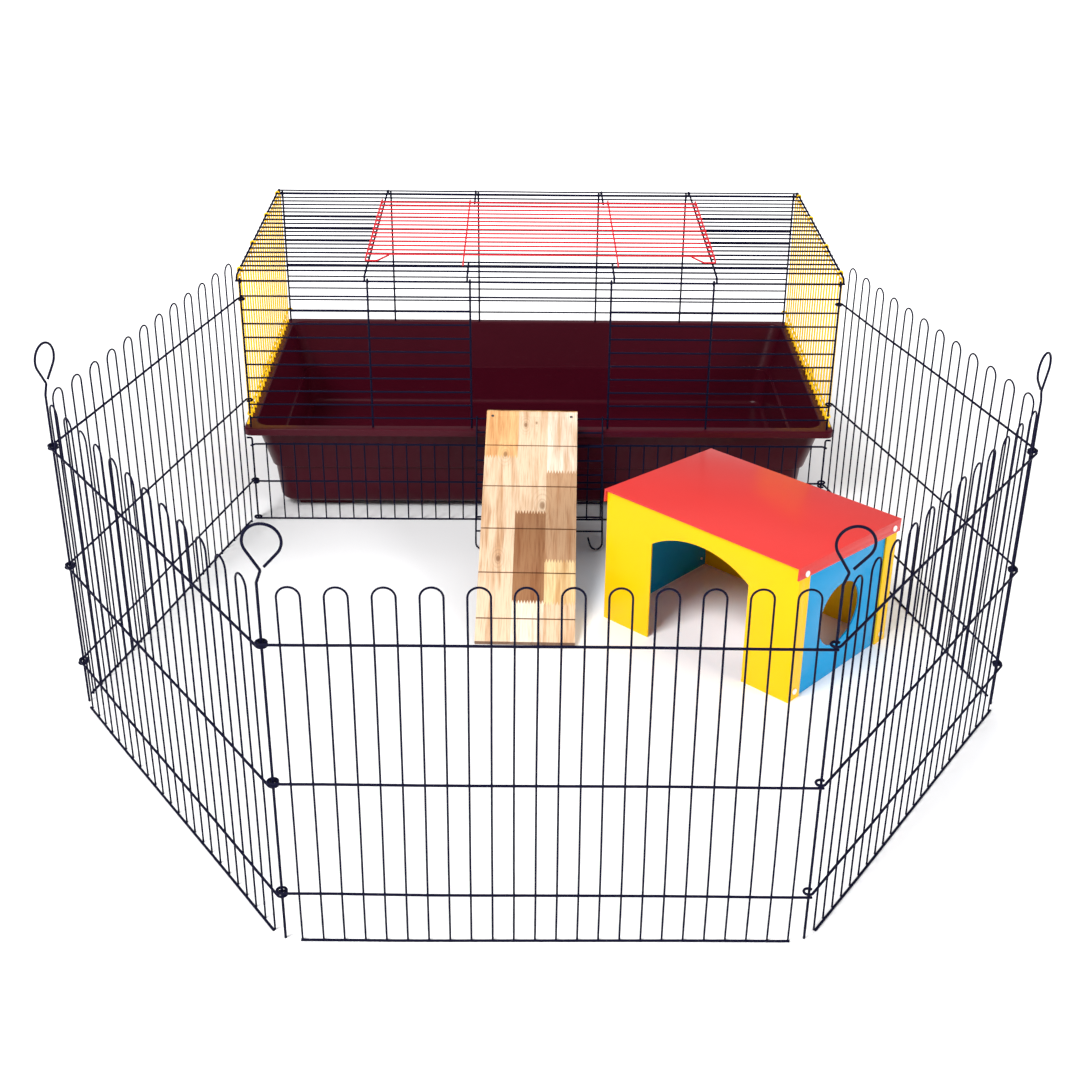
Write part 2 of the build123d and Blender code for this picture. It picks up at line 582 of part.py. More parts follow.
# ---------------------------------------------------------------- ramp
def over_sill(slope):
    """From the sill wire's middle to the ramp's top face, square to the ramp."""
    lift = RAMP_WIDTH / 2 * math.sin(math.radians(RAMP_YAW)) * math.tan(slope) + SEAT_GAP
    return RAMP_THICK + BATTEN_THICK + WIRE / 2 + lift * math.cos(slope)


def ramp_slope():
    """The slope at which the board, its foot on the floor, reaches the sill wire."""
    slope = math.asin(SILL / RAMP_LENGTH)
    for _ in range(SLOPE_ROUNDS):
        rise = SILL + (over_sill(slope) - RAMP_THICK) * math.cos(slope)
        slope = math.asin(rise / (RAMP_LENGTH - RAMP_SEAT_IN))
    return slope


def ramp_place():
    """The ramp's own frame: +X across, +Y up the slope from its foot, +Z off its top face."""
    slope = ramp_slope()
    top_y = FRONT_ROW_Y - over_sill(slope) * math.sin(slope)
    run = (RAMP_LENGTH - RAMP_SEAT_IN) * math.cos(slope)
    turn = Pos(RAMP_X, top_y, 0) * Rot(0, 0, -RAMP_YAW) * Pos(0, -run, RAMP_THICK * math.cos(slope))
    return turn * Rot(math.degrees(slope), 0, 0)


def nail_places():
    """Where the two nails go through the board into the batten."""
    reach = RAMP_WIDTH / 2 - NAIL_IN_SIDE
    return [(x, RAMP_LENGTH - NAIL_IN_END) for x in (-reach, reach)]


def nail_holes():
    """Holes for the nails, through the board and the batten."""
    depth = 4 * (RAMP_THICK + BATTEN_THICK)
    return [Pos(x, y, 0) * Cylinder(NAIL_HOLE / 2, depth) for x, y in nail_places()]


def ramp_board():
    """The ramp's board, with grooves across it for a foothold."""
    board = Pos(0, RAMP_LENGTH / 2, -RAMP_THICK / 2) * Box(RAMP_WIDTH, RAMP_LENGTH, RAMP_THICK)
    for i in range(GROOVES):
        y = GROOVE_FIRST + i * GROOVE_SPACING
        board -= Pos(0, y, 0) * Box(2 * RAMP_WIDTH, GROOVE_WIDTH, 2 * GROOVE_DEPTH)
    for hole in nail_holes():
        board -= hole
    return ramp_place() * board


def ramp_batten():
    """The strip under the board's top end, which rests on the sill wire."""
    length = BATTEN_UNDER + BATTEN_PAST
    y = RAMP_LENGTH + BATTEN_PAST - length / 2
    z = -RAMP_THICK - BATTEN_THICK / 2
    strip = Pos(0, y, z) * Box(RAMP_WIDTH, length, BATTEN_THICK)
    for hole in nail_holes():
        strip -= hole
    return ramp_place() * strip


def ramp_nails():
    """Two nails, their heads on the board."""
    length = RAMP_THICK + BATTEN_THICK - 1
    nails = []
    for x, y in nail_places():
        shank = Pos(x, y, (NAIL_HEAD_THICK - length) / 2) * Cylinder(NAIL / 2, length + NAIL_HEAD_THICK)
        head = Pos(x, y, NAIL_HEAD_THICK / 2) * Cylinder(NAIL_HEAD / 2, NAIL_HEAD_THICK)
        nails.append(ramp_place() * (shank + head).solids()[0])
    return Compound(children=nails)


# ---------------------------------------------------------------- house
HOUSE_SLOPE = math.degrees(
    math.atan2(HOUSE_FRONT_HEIGHT - HOUSE_REAR_HEIGHT, HOUSE_DEPTH + 2 * ROOF_OVERHANG))
SIDE_IN = SHEET + PART_GAP    # the blue sides stand this much in, behind the flanges


def house_place():
    """The house's frame: +X along its front, +Y to its back, its front left foot at the origin."""
    return Pos(*HOUSE_CORNER, 0) * Rot(0, 0, HOUSE_TURN)


def under_roof(shape, gap):
    """What is left of a shape below the roof's sheet."""
    size = 4 * HOUSE_LENGTH
    top = HOUSE_FRONT_HEIGHT - SHEET / math.cos(math.radians(HOUSE_SLOPE)) - gap
    cutter = Pos(0, -ROOF_OVERHANG, top) * Rot(-HOUSE_SLOPE, 0, 0) * Pos(0, 0, size / 2) * Box(size, size, size)
    return shape - cutter


def screw_places():
    """Depth and height of each screw in a side: front low and high, back low and high."""
    rear_top = HOUSE_REAR_HEIGHT - ROOF_FLANGE / 2
    front_top = HOUSE_FRONT_HEIGHT - ROOF_FLANGE / 2 - SHEET
    back = HOUSE_DEPTH - SCREW_IN
    return [(SCREW_IN, SCREW_IN), (SCREW_IN, front_top - SHEET), (back, SCREW_IN), (back, rear_top)]


def screw_holes():
    """Holes through both sides of the house for its screws."""
    return [Pos(HOUSE_LENGTH / 2, y, z) * Rot(0, 90, 0) * Cylinder(SCREW_HOLE / 2, 2 * HOUSE_LENGTH)
            for y, z in screw_places()]


def folded_wall(front):
    """The front or back wall: a sheet with its two ends folded round the corners."""
    height = HOUSE_FRONT_HEIGHT
    if front:
        sheet_y, flange_y = SHEET / 2, WALL_FLANGE / 2
    else:
        sheet_y, flange_y = HOUSE_DEPTH - SHEET / 2, HOUSE_DEPTH - WALL_FLANGE / 2
    wall = Pos(HOUSE_LENGTH / 2, sheet_y, height / 2) * Box(HOUSE_LENGTH, SHEET, height)
    for x in (SHEET / 2, HOUSE_LENGTH - SHEET / 2):
        wall += Pos(x, flange_y, height / 2) * Box(SHEET, WALL_FLANGE, height)
    if front:
        wall -= arch_cutter()
    for hole in screw_holes():
        wall -= hole
    return house_place() * under_roof(wall, PART_GAP)


def arch_cutter():
    """The doorway of the house: upright sides under a shallow arc."""
    right_x = HOUSE_LENGTH - ARCH_RIGHT
    middle = (ARCH_LEFT + right_x) / 2
    left = (ARCH_LEFT, 0, ARCH_SPRING)
    right = (right_x, 0, ARCH_SPRING)
    floor_left = (ARCH_LEFT, 0, -SHEET)
    floor_right = (right_x, 0, -SHEET)
    edges = Line(floor_left, left).edges() + ThreePointArc(left, (middle, 0, ARCH_TOP), right).edges()
    edges += Line(right, floor_right).edges() + Line(floor_right, floor_left).edges()
    return extrude(make_face(edges), 2 * SHEET, both=True)


def house_side(right):
    """A blue side behind the flanges; the right one has the round window."""
    x = HOUSE_LENGTH - SIDE_IN - SHEET / 2 if right else SIDE_IN + SHEET / 2
    depth = HOUSE_DEPTH - 2 * SIDE_IN
    height = HOUSE_FRONT_HEIGHT
    side = Pos(x, HOUSE_DEPTH / 2, height / 2) * Box(SHEET, depth, height)
    if right:
        side -= Pos(x, *WINDOW_PLACE) * Rot(0, 90, 0) * Cylinder(WINDOW / 2, 4 * SHEET)
    for hole in screw_holes():
        side -= hole
    return house_place() * under_roof(side, PART_GAP)


def house_roof():
    """The red roof: a sloping sheet, folded down over both sides."""
    depth = (HOUSE_DEPTH + 2 * ROOF_OVERHANG) / math.cos(math.radians(HOUSE_SLOPE))
    length = HOUSE_LENGTH + 2 * (SHEET + PART_GAP)
    sheet = Pos(HOUSE_LENGTH / 2, depth / 2, -SHEET / 2) * Box(length, depth, SHEET)
    for x in (-SHEET / 2 - PART_GAP, HOUSE_LENGTH + SHEET / 2 + PART_GAP):
        sheet += Pos(x, depth / 2, -ROOF_FLANGE / 2) * Box(SHEET, depth, ROOF_FLANGE)
    roof = Pos(0, -ROOF_OVERHANG, HOUSE_FRONT_HEIGHT) * Rot(-HOUSE_SLOPE, 0, 0) * sheet
    for hole in screw_holes():
        roof -= hole
    return house_place() * roof


def house_screws():
    """Eight pan-head screws: those at the top sit on the roof's flanges."""
    screws = []
    half = HOUSE_LENGTH / 2
    for way in (-1, 1):
        for y, z in screw_places():
            high = z > HOUSE_REAR_HEIGHT / 2
            face = half + (SHEET + PART_GAP if high else 0)
            reach = SCREW_REACH + SCREW_HEAD_THICK
            shank = Pos(0, 0, SCREW_HEAD_THICK - reach / 2) * Cylinder(SCREW / 2, reach)
            head = Pos(0, 0, SCREW_HEAD_THICK / 2) * Cylinder(SCREW_HEAD / 2, SCREW_HEAD_THICK)
            screw = (shank + head).solids()[0]
            spot = Pos(half + way * face, y, z) * Rot(0, way * 90, 0)
            screws.append(house_place() * spot * screw)
    return Compound(children=screws)


# ---------------------------------------------------------------- the whole pen
def heading(start, end):
    """Direction from one place to another, in degrees."""
    return math.degrees(math.atan2(end[1] - start[1], end[0] - start[0]))


def build_run():
    """The fence, its stakes, and the skirt under the tray."""
    cage_left = (-CORNER_X, CAGE_FRONT)
    cage_right = (CORNER_X, CAGE_FRONT)
    left, front_left, front_right, right = (place[:2] for place in STAKE_PLACES.values())
    panel = fence_panel()
    gate = fence_panel(OPEN_EYE_TURN)
    runs = {
        "panel_left_rear": (cage_left, left, panel),
        "panel_left_front": (left, front_left, panel),
        "panel_front": (front_left, front_right, gate),
        "panel_right_front": (front_right, right, panel),
        "panel_right_rear": (right, cage_right, panel),
    }
    for name, (start, end, shape) in runs.items():
        write(name, Pos(*start, 0) * Rot(0, 0, heading(start, end)) * shape)
    pin = stake()
    for name, (x, y, turn) in STAKE_PLACES.items():
        write(name, Pos(x, y, 0) * Rot(0, 0, turn) * pin)
    write("skirt_grille", skirt_grille())
    write("skirt_pin_left", skirt_pin(-1))
    write("skirt_pin_right", skirt_pin(1))


def build_cage():
    """The tray, the wire top, its doors and the side clips."""
    write("tray", tray())
    write("front_grille", end_grille(CAGE_FRONT, FRONT_ROW_Y, 1, True))
    write("rear_grille", end_grille(CAGE_REAR, CAGE_REAR + ROW_OUT, -1, False))
    write("roof_grille", roof_grille())
    write("roof_door", roof_door())
    write("front_door", front_door())
    for word, side in (("left", -1), ("right", 1)):
        write("side_grille_" + word, side_grille(side))
        write("tray_clip_" + word, clip(side))
        write("clip_pin_" + word, clip_pin(side))


def build_ramp_and_house():
    """The ramp and the house, which stand loose in the run."""
    write("ramp_board", ramp_board())
    write("ramp_batten", ramp_batten())
    write("ramp_nails", ramp_nails())
    write("house_front", folded_wall(True))
    write("house_back", folded_wall(False))
    write("house_side_left", house_side(False))
    write("house_side_right", house_side(True))
    write("house_roof", house_roof())
    write("house_screws", house_screws())


build_run()
build_cage()
build_ramp_and_house()
os.makedirs("parts", exist_ok=True)
for node, shape in parts.items():
    export_step(shape, f"parts/{node}.step")
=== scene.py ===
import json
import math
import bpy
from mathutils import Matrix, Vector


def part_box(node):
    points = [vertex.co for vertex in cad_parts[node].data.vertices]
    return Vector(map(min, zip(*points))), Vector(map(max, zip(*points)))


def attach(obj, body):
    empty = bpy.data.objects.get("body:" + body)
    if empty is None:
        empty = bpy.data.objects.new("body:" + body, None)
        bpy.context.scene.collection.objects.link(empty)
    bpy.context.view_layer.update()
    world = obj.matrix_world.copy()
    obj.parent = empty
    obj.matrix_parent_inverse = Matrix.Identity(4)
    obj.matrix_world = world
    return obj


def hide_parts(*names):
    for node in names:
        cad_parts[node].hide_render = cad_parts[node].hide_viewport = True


bl_info = {
    "name": "Pet playpen",
    "version": (1, 0, 0),
    "blender": (4, 5, 0),
    "location": "View3D > Sidebar > Playpen",
    "description": "A wire cage on a plastic tray, with a folding run, a ramp and a small painted house",
    "category": "Add Mesh",
}

import bmesh
import bpy
from bpy.props import FloatProperty, FloatVectorProperty, IntProperty, PointerProperty
from mathutils import Matrix, Vector

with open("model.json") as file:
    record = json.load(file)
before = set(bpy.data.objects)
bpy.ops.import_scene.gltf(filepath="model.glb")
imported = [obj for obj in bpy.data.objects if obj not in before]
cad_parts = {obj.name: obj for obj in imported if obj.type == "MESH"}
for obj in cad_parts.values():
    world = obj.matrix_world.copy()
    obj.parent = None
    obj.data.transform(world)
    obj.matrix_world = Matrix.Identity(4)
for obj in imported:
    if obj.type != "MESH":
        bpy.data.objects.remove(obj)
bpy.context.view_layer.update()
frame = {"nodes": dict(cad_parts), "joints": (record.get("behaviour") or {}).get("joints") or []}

MM = 0.001
UP = Vector((0, 0, 1))

# ---------------------------------------------------------------- places, from the frame
JOINT_PLACES = {joint["name"]: Vector(joint["pos_m"]) for joint in frame["joints"] if "pos_m" in joint}
CORNER = JOINT_PLACES["right_rear_fold"]          # the cage's front right corner wire
SIDE_STAKE = JOINT_PLACES["right_front_fold"]
FRONT_STAKE = Vector((-JOINT_PLACES["gate_fold"].x, JOINT_PLACES["gate_fold"].y, 0))
SILL = JOINT_PLACES["front_door_close"]           # the wire that the front door hangs on
ROOF_HINGE = JOINT_PLACES["roof_door_open"]       # the wire that the roof door turns on
CLIP_AXIS = JOINT_PLACES["right_clip_open"]
TRAY_LOW, TRAY_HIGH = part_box("tray")
RIM_TOP = TRAY_HIGH.z
CAGE_MIDDLE = (TRAY_LOW.y + TRAY_HIGH.y) / 2
CAGE_REAR = 2 * CAGE_MIDDLE - CORNER.y
STAKE_TURNS = {"stake_left": 70, "stake_front_left": 0, "stake_front_right": 0, "stake_right": -128}

# ---------------------------------------------------------------- counts and turns of the wirework
WIRES_ACROSS = 41
WIRES_DEEP = 22
FRONT_ROWS = 10
HAIRPINS = 12
DOOR_ROWS = (2, 17)
HOOK_ROWS = (0.5, 6.5, 13.5, 19.5)
PITCH = 2 * CORNER.x / WIRES_ACROSS
EYE_TURN = 285                                     # how far an eye wraps round its stake, in degrees
OPEN_EYE_TURN = 20                                 # the same at the run's unhooked corner
DOOR_OPEN = 149                                    # the front door's turn down from shut, in degrees
BAR_X = (115 * MM, 282 * MM)                       # inner and outer uprights of the front, from the middle
ROOF_BAR_PAST = 4.5 * MM                           # a roof bar beside an upright
WIRE_PAST = 1 * MM                                 # a grille's wires past its last bars
HOOK_TAIL = 5 * MM                                 # straight end of a hook
SKIRT_HOOK = 9 * MM                                # bent ends of the skirt's top rod and pins


# ---------------------------------------------------------------- settings
class PlaypenWires(bpy.types.PropertyGroup):
    """Sizes of the wires and how they are bent."""
    thin: FloatProperty(name="Grille wire", description="Thin wires of the cage", default=2.5 * MM,
                        unit="LENGTH")
    cross: FloatProperty(name="Cross wire", description="Thicker wires they are welded to",
                         default=3.0 * MM, unit="LENGTH")
    hairpin: FloatProperty(name="Hairpin wire", description="Upright wires of the run",
                           default=2.2 * MM, unit="LENGTH")
    bottom: FloatProperty(name="Side bottom rod", description="Rod that the side clips hold",
                          default=3.5 * MM, unit="LENGTH")
    weld: FloatProperty(name="Weld depth", description="How far welded wires sink together",
                        default=0.15 * MM, unit="LENGTH")
    gap: FloatProperty(name="Running gap", description="Gap round a hinge wire", default=0.7 * MM,
                       unit="LENGTH")
    eye: FloatProperty(name="Eye radius", description="Middle of an eye round a stake",
                       default=5.5 * MM, unit="LENGTH")
    hook: FloatProperty(name="Hook radius", description="Hooks over the roof's edge wires",
                        default=3.3 * MM, unit="LENGTH")
    nugget: FloatProperty(name="Weld nugget", description="Radius of the metal squeezed out of a weld",
                          default=1.25 * MM, unit="LENGTH")
    bow: FloatProperty(name="Bow", description="How far wires stray from straight", default=0.5 * MM,
                       unit="LENGTH")
    coat: FloatProperty(name="Cage coat", description="Powder coat on the cage's wires",
                        default=0.22 * MM, unit="LENGTH")
    run_coat: FloatProperty(name="Run coat", description="Powder coat on the run's wires",
                            default=0.12 * MM, unit="LENGTH")
    sides: IntProperty(name="Sides", description="Faces round a wire", default=12, min=6)


class PlaypenRun(bpy.types.PropertyGroup):
    """Sizes of the run's panels and stakes."""
    length: FloatProperty(name="Panel length", description="Between a panel's stakes", default=0.6,
                          unit="LENGTH")
    spacing: FloatProperty(name="Hairpin spacing", description="Between the middles of hairpins",
                           default=48.7 * MM, unit="LENGTH")
    width: FloatProperty(name="Hairpin width", description="Between a hairpin's legs",
                         default=24.4 * MM, unit="LENGTH")
    top: FloatProperty(name="Hairpin top", description="Height of the hairpins", default=467.6 * MM,
                       unit="LENGTH")
    rods: FloatVectorProperty(name="Rod heights", description="Heights of the rods with eyes",
                              default=(67.6 * MM, 219.6 * MM, 397.5 * MM), unit="LENGTH")
    lift: FloatProperty(name="Rod lift", description="Half the fall of a rod along its panel",
                        default=1.7 * MM, unit="LENGTH")
    ring: FloatProperty(name="Ring radius", description="Ring on top of a stake", default=20 * MM,
                        unit="LENGTH")
    skirt: FloatVectorProperty(name="Skirt rods", description="Heights of the skirt's rods",
                               default=(1.5 * MM, 72.7 * MM, 142.5 * MM), unit="LENGTH")


class PlaypenTray(bpy.types.PropertyGroup):
    """Sizes of the plastic tray."""
    wall: FloatProperty(name="Wall", description="Thickness of the plastic", default=2.6 * MM,
                        unit="LENGTH")
    lip: FloatProperty(name="Lip", description="Height of the lip round the rim", default=12.5 * MM,
                       unit="LENGTH")
    foot: FloatProperty(name="Foot height", description="Height of the feet", default=12 * MM,
                        unit="LENGTH")
    step: FloatProperty(name="Step height", description="Height of the step in the walls",
                        default=85 * MM, unit="LENGTH")
    insets: FloatVectorProperty(name="Wall insets", size=4, unit="LENGTH",
                                description="Walls in from the rim's edge: rim, over and under step, floor",
                                default=(15 * MM, 36 * MM, 40 * MM, 47 * MM))
    bend: FloatProperty(name="Floor bend", description="Rounding between floor and walls",
                        default=10 * MM, unit="LENGTH")
    pin_out: FloatProperty(name="Pin out", description="Middle of a clip's pin out from the rim's edge",
                           default=4.2 * MM, unit="LENGTH")


class PlaypenRamp(bpy.types.PropertyGroup):
    """How the ramp lies, and its laminated strips."""
    slope: FloatProperty(name="Slope", description="Angle of the ramp", default=math.radians(25.4),
                         subtype="ANGLE")
    turn: FloatProperty(name="Turn", description="Ramp's turn on the floor", default=math.radians(1.6),
                        subtype="ANGLE")
    finger: FloatProperty(name="Finger length", description="Half a finger joint", default=4 * MM,
                          unit="LENGTH")
    pitch: FloatProperty(name="Finger pitch", description="Spacing of the fingers", default=4.6 * MM,
                         unit="LENGTH")


class PlaypenColours(bpy.types.PropertyGroup):
    """Colours of the finishes."""
    navy: FloatVectorProperty(name="Navy wire", description="Powder coat of the run and cage",
                              subtype="COLOR", default=(0.004, 0.004, 0.018))
    yellow: FloatVectorProperty(name="Yellow wire", description="Powder coat of the cage's sides",
                                subtype="COLOR", default=(0.98, 0.58, 0.012))
    red: FloatVectorProperty(name="Red wire", description="Powder coat of the roof door",
                             subtype="COLOR", default=(0.62, 0.018, 0.03))
    plastic: FloatVectorProperty(name="Tray", description="Moulded plastic", subtype="COLOR",
                                 default=(0.05, 0.0022, 0.0085))
    house_yellow: FloatVectorProperty(name="House walls", description="Gloss paint", subtype="COLOR",
                                      default=(0.93, 0.54, 0.001))
    house_blue: FloatVectorProperty(name="House sides", description="Gloss paint", subtype="COLOR",
                                    default=(0.001, 0.3, 0.62))
    house_red: FloatVectorProperty(name="House roof", description="Gloss paint", subtype="COLOR",
                                   default=(0.66, 0.04, 0.036))
    white: FloatVectorProperty(name="Screws", description="Painted screw heads", subtype="COLOR",
                               default=(0.88, 0.87, 0.84))
    steel: FloatVectorProperty(name="Steel", description="Bare steel pins", subtype="COLOR",
                               default=(0.5, 0.5, 0.51))
    nail: FloatVectorProperty(name="Nails", description="Dull nail heads", subtype="COLOR",
                              default=(0.06, 0.05, 0.05))


class PlaypenStage(bpy.types.PropertyGroup):
    """Camera and lights."""
    eye: FloatVectorProperty(name="Camera place", description="Where the camera stands", unit="LENGTH",
                             default=(-29.7 * MM, -2232.85 * MM, 1273.15 * MM))
    yaw: FloatProperty(name="Yaw", description="Turn of the camera to the right", subtype="ANGLE",
                       default=math.radians(0.747))
    pitch: FloatProperty(name="Pitch", description="Downward tilt of the camera", subtype="ANGLE",
                         default=math.radians(27.708))
    roll: FloatProperty(name="Roll", description="Roll of the camera", subtype="ANGLE",
                        default=math.radians(0.602))
    lens: FloatProperty(name="Lens", description="Focal length in mm on a 36 mm sensor", default=53.57)


# ---------------------------------------------------------------- node helpers
def add(tree, kind, inputs=None, **settings):
    """A node with its settings; an input is given a value or linked to a socket."""
    node = tree.nodes.new(kind)
    for key, value in settings.items():
        setattr(node, key, value)
    for key, value in (inputs or {}).items():
        if isinstance(value, bpy.types.NodeSocket):
            tree.links.new(value, node.inputs[key])
        else:
            node.inputs[key].default_value = value
    return node


def reckon(tree, operation, *values):
    """A math node's result."""
    node = add(tree, "ShaderNodeMath", dict(enumerate(values)), operation=operation)
    return node.outputs[0]


def ramped(tree, value, low, high, start=0.0, end=1.0):
    """A value carried from one range to another, held at the ends."""
    inputs = {"Value": value, "From Min": low, "From Max": high, "To Min": start, "To Max": end}
    return add(tree, "ShaderNodeMapRange", inputs).outputs["Result"]


def mixed(tree, share, first, second, blend="MIX"):
    """Two colours mixed."""
    node = tree.nodes.new("ShaderNodeMix")
    node.data_type = "RGBA"
    node.blend_type = blend
    for index, value in ((0, share), (6, first), (7, second)):
        if isinstance(value, bpy.types.NodeSocket):
            tree.links.new(value, node.inputs[index])
        else:
            node.inputs[index].default_value = value
    return node.outputs[2]


def noise(tree, vector, scale, detail=3.0, roughness=0.5):
    """Noise on a vector."""
    inputs = {"Vector": vector, "Scale": scale, "Detail": detail, "Roughness": roughness}
    return add(tree, "ShaderNodeTexNoise", inputs).outputs


def stretched(tree, vector, scale):
    """A vector stretched along its axes."""
    return add(tree, "ShaderNodeMapping", {"Vector": vector, "Scale": scale}).outputs["Vector"]


def new_group(name, kind, inputs, outputs):
    """An empty node group with its sockets; inputs and outputs are (name, socket type)."""
    tree = bpy.data.node_groups.new(name, kind)
    for in_out, sockets in (("INPUT", inputs), ("OUTPUT", outputs)):
        for label, socket in sockets:
            tree.interface.new_socket(label, in_out=in_out, socket_type=socket)
    return tree, tree.nodes.new("NodeGroupInput").outputs, tree.nodes.new("NodeGroupOutput").inputs


# ---------------------------------------------------------------- geometry nodes
def bow_group():
    """Moves a mesh a little by a smooth noise, so wires that touch stray together."""
    sockets = [("Geometry", "NodeSocketGeometry"), ("Bow", "NodeSocketFloat")]
    tree, given, result = new_group("wire_bow", "GeometryNodeTree", sockets, sockets[:1])
    place = add(tree, "GeometryNodeInputPosition").outputs[0]
    wander = noise(tree, place, 3.0, 1.0)["Color"]
    centred = add(tree, "ShaderNodeVectorMath", {0: wander, 1: (0.5, 0.5, 0.5)}, operation="SUBTRACT")
    double = reckon(tree, "MULTIPLY", given["Bow"], 4.0)
    offset = add(tree, "ShaderNodeVectorMath", {0: centred.outputs[0], "Scale": double},
                 operation="SCALE").outputs[0]
    moved = add(tree, "GeometryNodeSetPosition", {"Geometry": given["Geometry"], "Offset": offset})
    tree.links.new(moved.outputs[0], result["Geometry"])
    return tree


def finished(tree, geometry, given, result):
    """Ends a tree: bow, realize, smooth shading and material."""
    bow = add(tree, "GeometryNodeGroup", node_tree=bpy.data.node_groups["wire_bow"])
    real = add(tree, "GeometryNodeRealizeInstances", {"Geometry": geometry}).outputs[0]
    tree.links.new(real, bow.inputs["Geometry"])
    tree.links.new(given["Bow"], bow.inputs["Bow"])
    smooth = add(tree, "GeometryNodeSetShadeSmooth", {"Geometry": bow.outputs[0]}).outputs[0]
    coated = add(tree, "GeometryNodeSetMaterial", {"Geometry": smooth, "Material": given["Material"]})
    tree.links.new(coated.outputs[0], result["Geometry"])


def wire_row_tree():
    """One wire swept along a path and repeated in a row."""
    inputs = [
        ("Geometry", "NodeSocketGeometry"), ("Count", "NodeSocketInt"), ("Step", "NodeSocketVector"),
        ("Diameter", "NodeSocketFloat"), ("Sides", "NodeSocketInt"), ("Bow", "NodeSocketFloat"),
        ("Material", "NodeSocketMaterial")]
    tree, given, result = new_group("wire_row", "GeometryNodeTree", inputs, inputs[:1])
    bow_group()
    line = add(tree, "GeometryNodeMeshToCurve", {0: given["Geometry"]}).outputs[0]
    radius = reckon(tree, "DIVIDE", given["Diameter"], 2.0)
    circle = add(tree, "GeometryNodeCurvePrimitiveCircle",
                 {"Resolution": given["Sides"], "Radius": radius})
    sweep = {"Curve": line, "Profile Curve": circle.outputs[0], "Fill Caps": True}
    tube = add(tree, "GeometryNodeCurveToMesh", sweep).outputs[0]
    places = add(tree, "GeometryNodeMeshLine", {"Count": given["Count"], "Offset": given["Step"]})
    row = add(tree, "GeometryNodeInstanceOnPoints", {"Points": places.outputs[0], "Instance": tube})
    finished(tree, row.outputs[0], given, result)
    return tree


def nugget_tree():
    """A small bead on each vertex, for the metal squeezed out of a weld."""
    inputs = [
        ("Geometry", "NodeSocketGeometry"), ("Radius", "NodeSocketFloat"), ("Bow", "NodeSocketFloat"),
        ("Material", "NodeSocketMaterial")]
    tree, given, result = new_group("weld_nuggets", "GeometryNodeTree", inputs, inputs[:1])
    bead = add(tree, "GeometryNodeMeshIcoSphere", {"Radius": given["Radius"], "Subdivisions": 2}).outputs[0]
    row = add(tree, "GeometryNodeInstanceOnPoints", {"Points": given["Geometry"], "Instance": bead})
    finished(tree, row.outputs[0], given, result)
    return tree


def grown(mesh, tree, values):
    """The plain mesh that a tree makes from a mesh."""
    source = bpy.data.objects.new("source", mesh)
    bpy.context.scene.collection.objects.link(source)
    modifier = source.modifiers.new("grow", "NODES")
    modifier.node_group = tree
    for item in tree.interface.items_tree:
        if item.in_out == "INPUT" and item.name in values:
            modifier[item.identifier] = values[item.name]
    made = bpy.data.meshes.new_from_object(source.evaluated_get(bpy.context.evaluated_depsgraph_get()))
    bpy.data.objects.remove(source)
    return made


def piece_of(name, meshes, material, sharp=math.radians(40)):
    """One object from several meshes."""
    gathered = bmesh.new()
    for mesh in meshes:
        gathered.from_mesh(mesh)
        bpy.data.meshes.remove(mesh)
    whole = bpy.data.meshes.new(name)
    gathered.to_mesh(whole)
    gathered.free()
    whole.materials.clear()
    whole.materials.append(material)
    for face in whole.polygons:
        face.material_index = 0
    whole.shade_smooth()
    whole.set_sharp_from_angle(angle=sharp)
    piece = bpy.data.objects.new(name, whole)
    bpy.context.scene.collection.objects.link(piece)
    return piece


# ---------------------------------------------------------------- paths of wires
def arc(middle, radius, start, turn, across=Vector((1, 0, 0)), along=Vector((0, 1, 0)), steps=None):
    """Points on an arc in the plane of two directions; angles in degrees."""
    steps = steps or max(4, round(abs(turn) / 15))
    points = []
    for i in range(steps + 1):
        angle = math.radians(start + turn * i / steps)
        points.append(Vector(middle) + radius * (math.cos(angle) * across + math.sin(angle) * along))
    return points


def rounded(points, radius, steps=5):
    """A path with its corners rounded by arcs."""
    points = [Vector(point) for point in points]
    path = [points[0]]
    for before, corner, after in zip(points, points[1:], points[2:]):
        back = (before - corner).normalized()
        on = (after - corner).normalized()
        half = back.angle(on) / 2
        reach = radius / math.tan(half)
        middle = corner + (back + on).normalized() * (radius / math.sin(half))
        first, last = corner + back * reach - middle, corner + on * reach - middle
        for i in range(steps + 1):
            path.append(middle + radius * first.slerp(last, i / steps).normalized())
    return path + [points[-1]]


def divided(points, longest=0.06):
    """A path with its long runs cut up, so that they can bow, and double points dropped."""
    path = [Vector(points[0])]
    for point in points[1:]:
        start, end = path[-1], Vector(point)
        length = (end - start).length
        if length < 1e-6:
            continue
        pieces = math.ceil(length / longest)
        path += [start.lerp(end, (i + 1) / pieces) for i in range(pieces)]
    return path


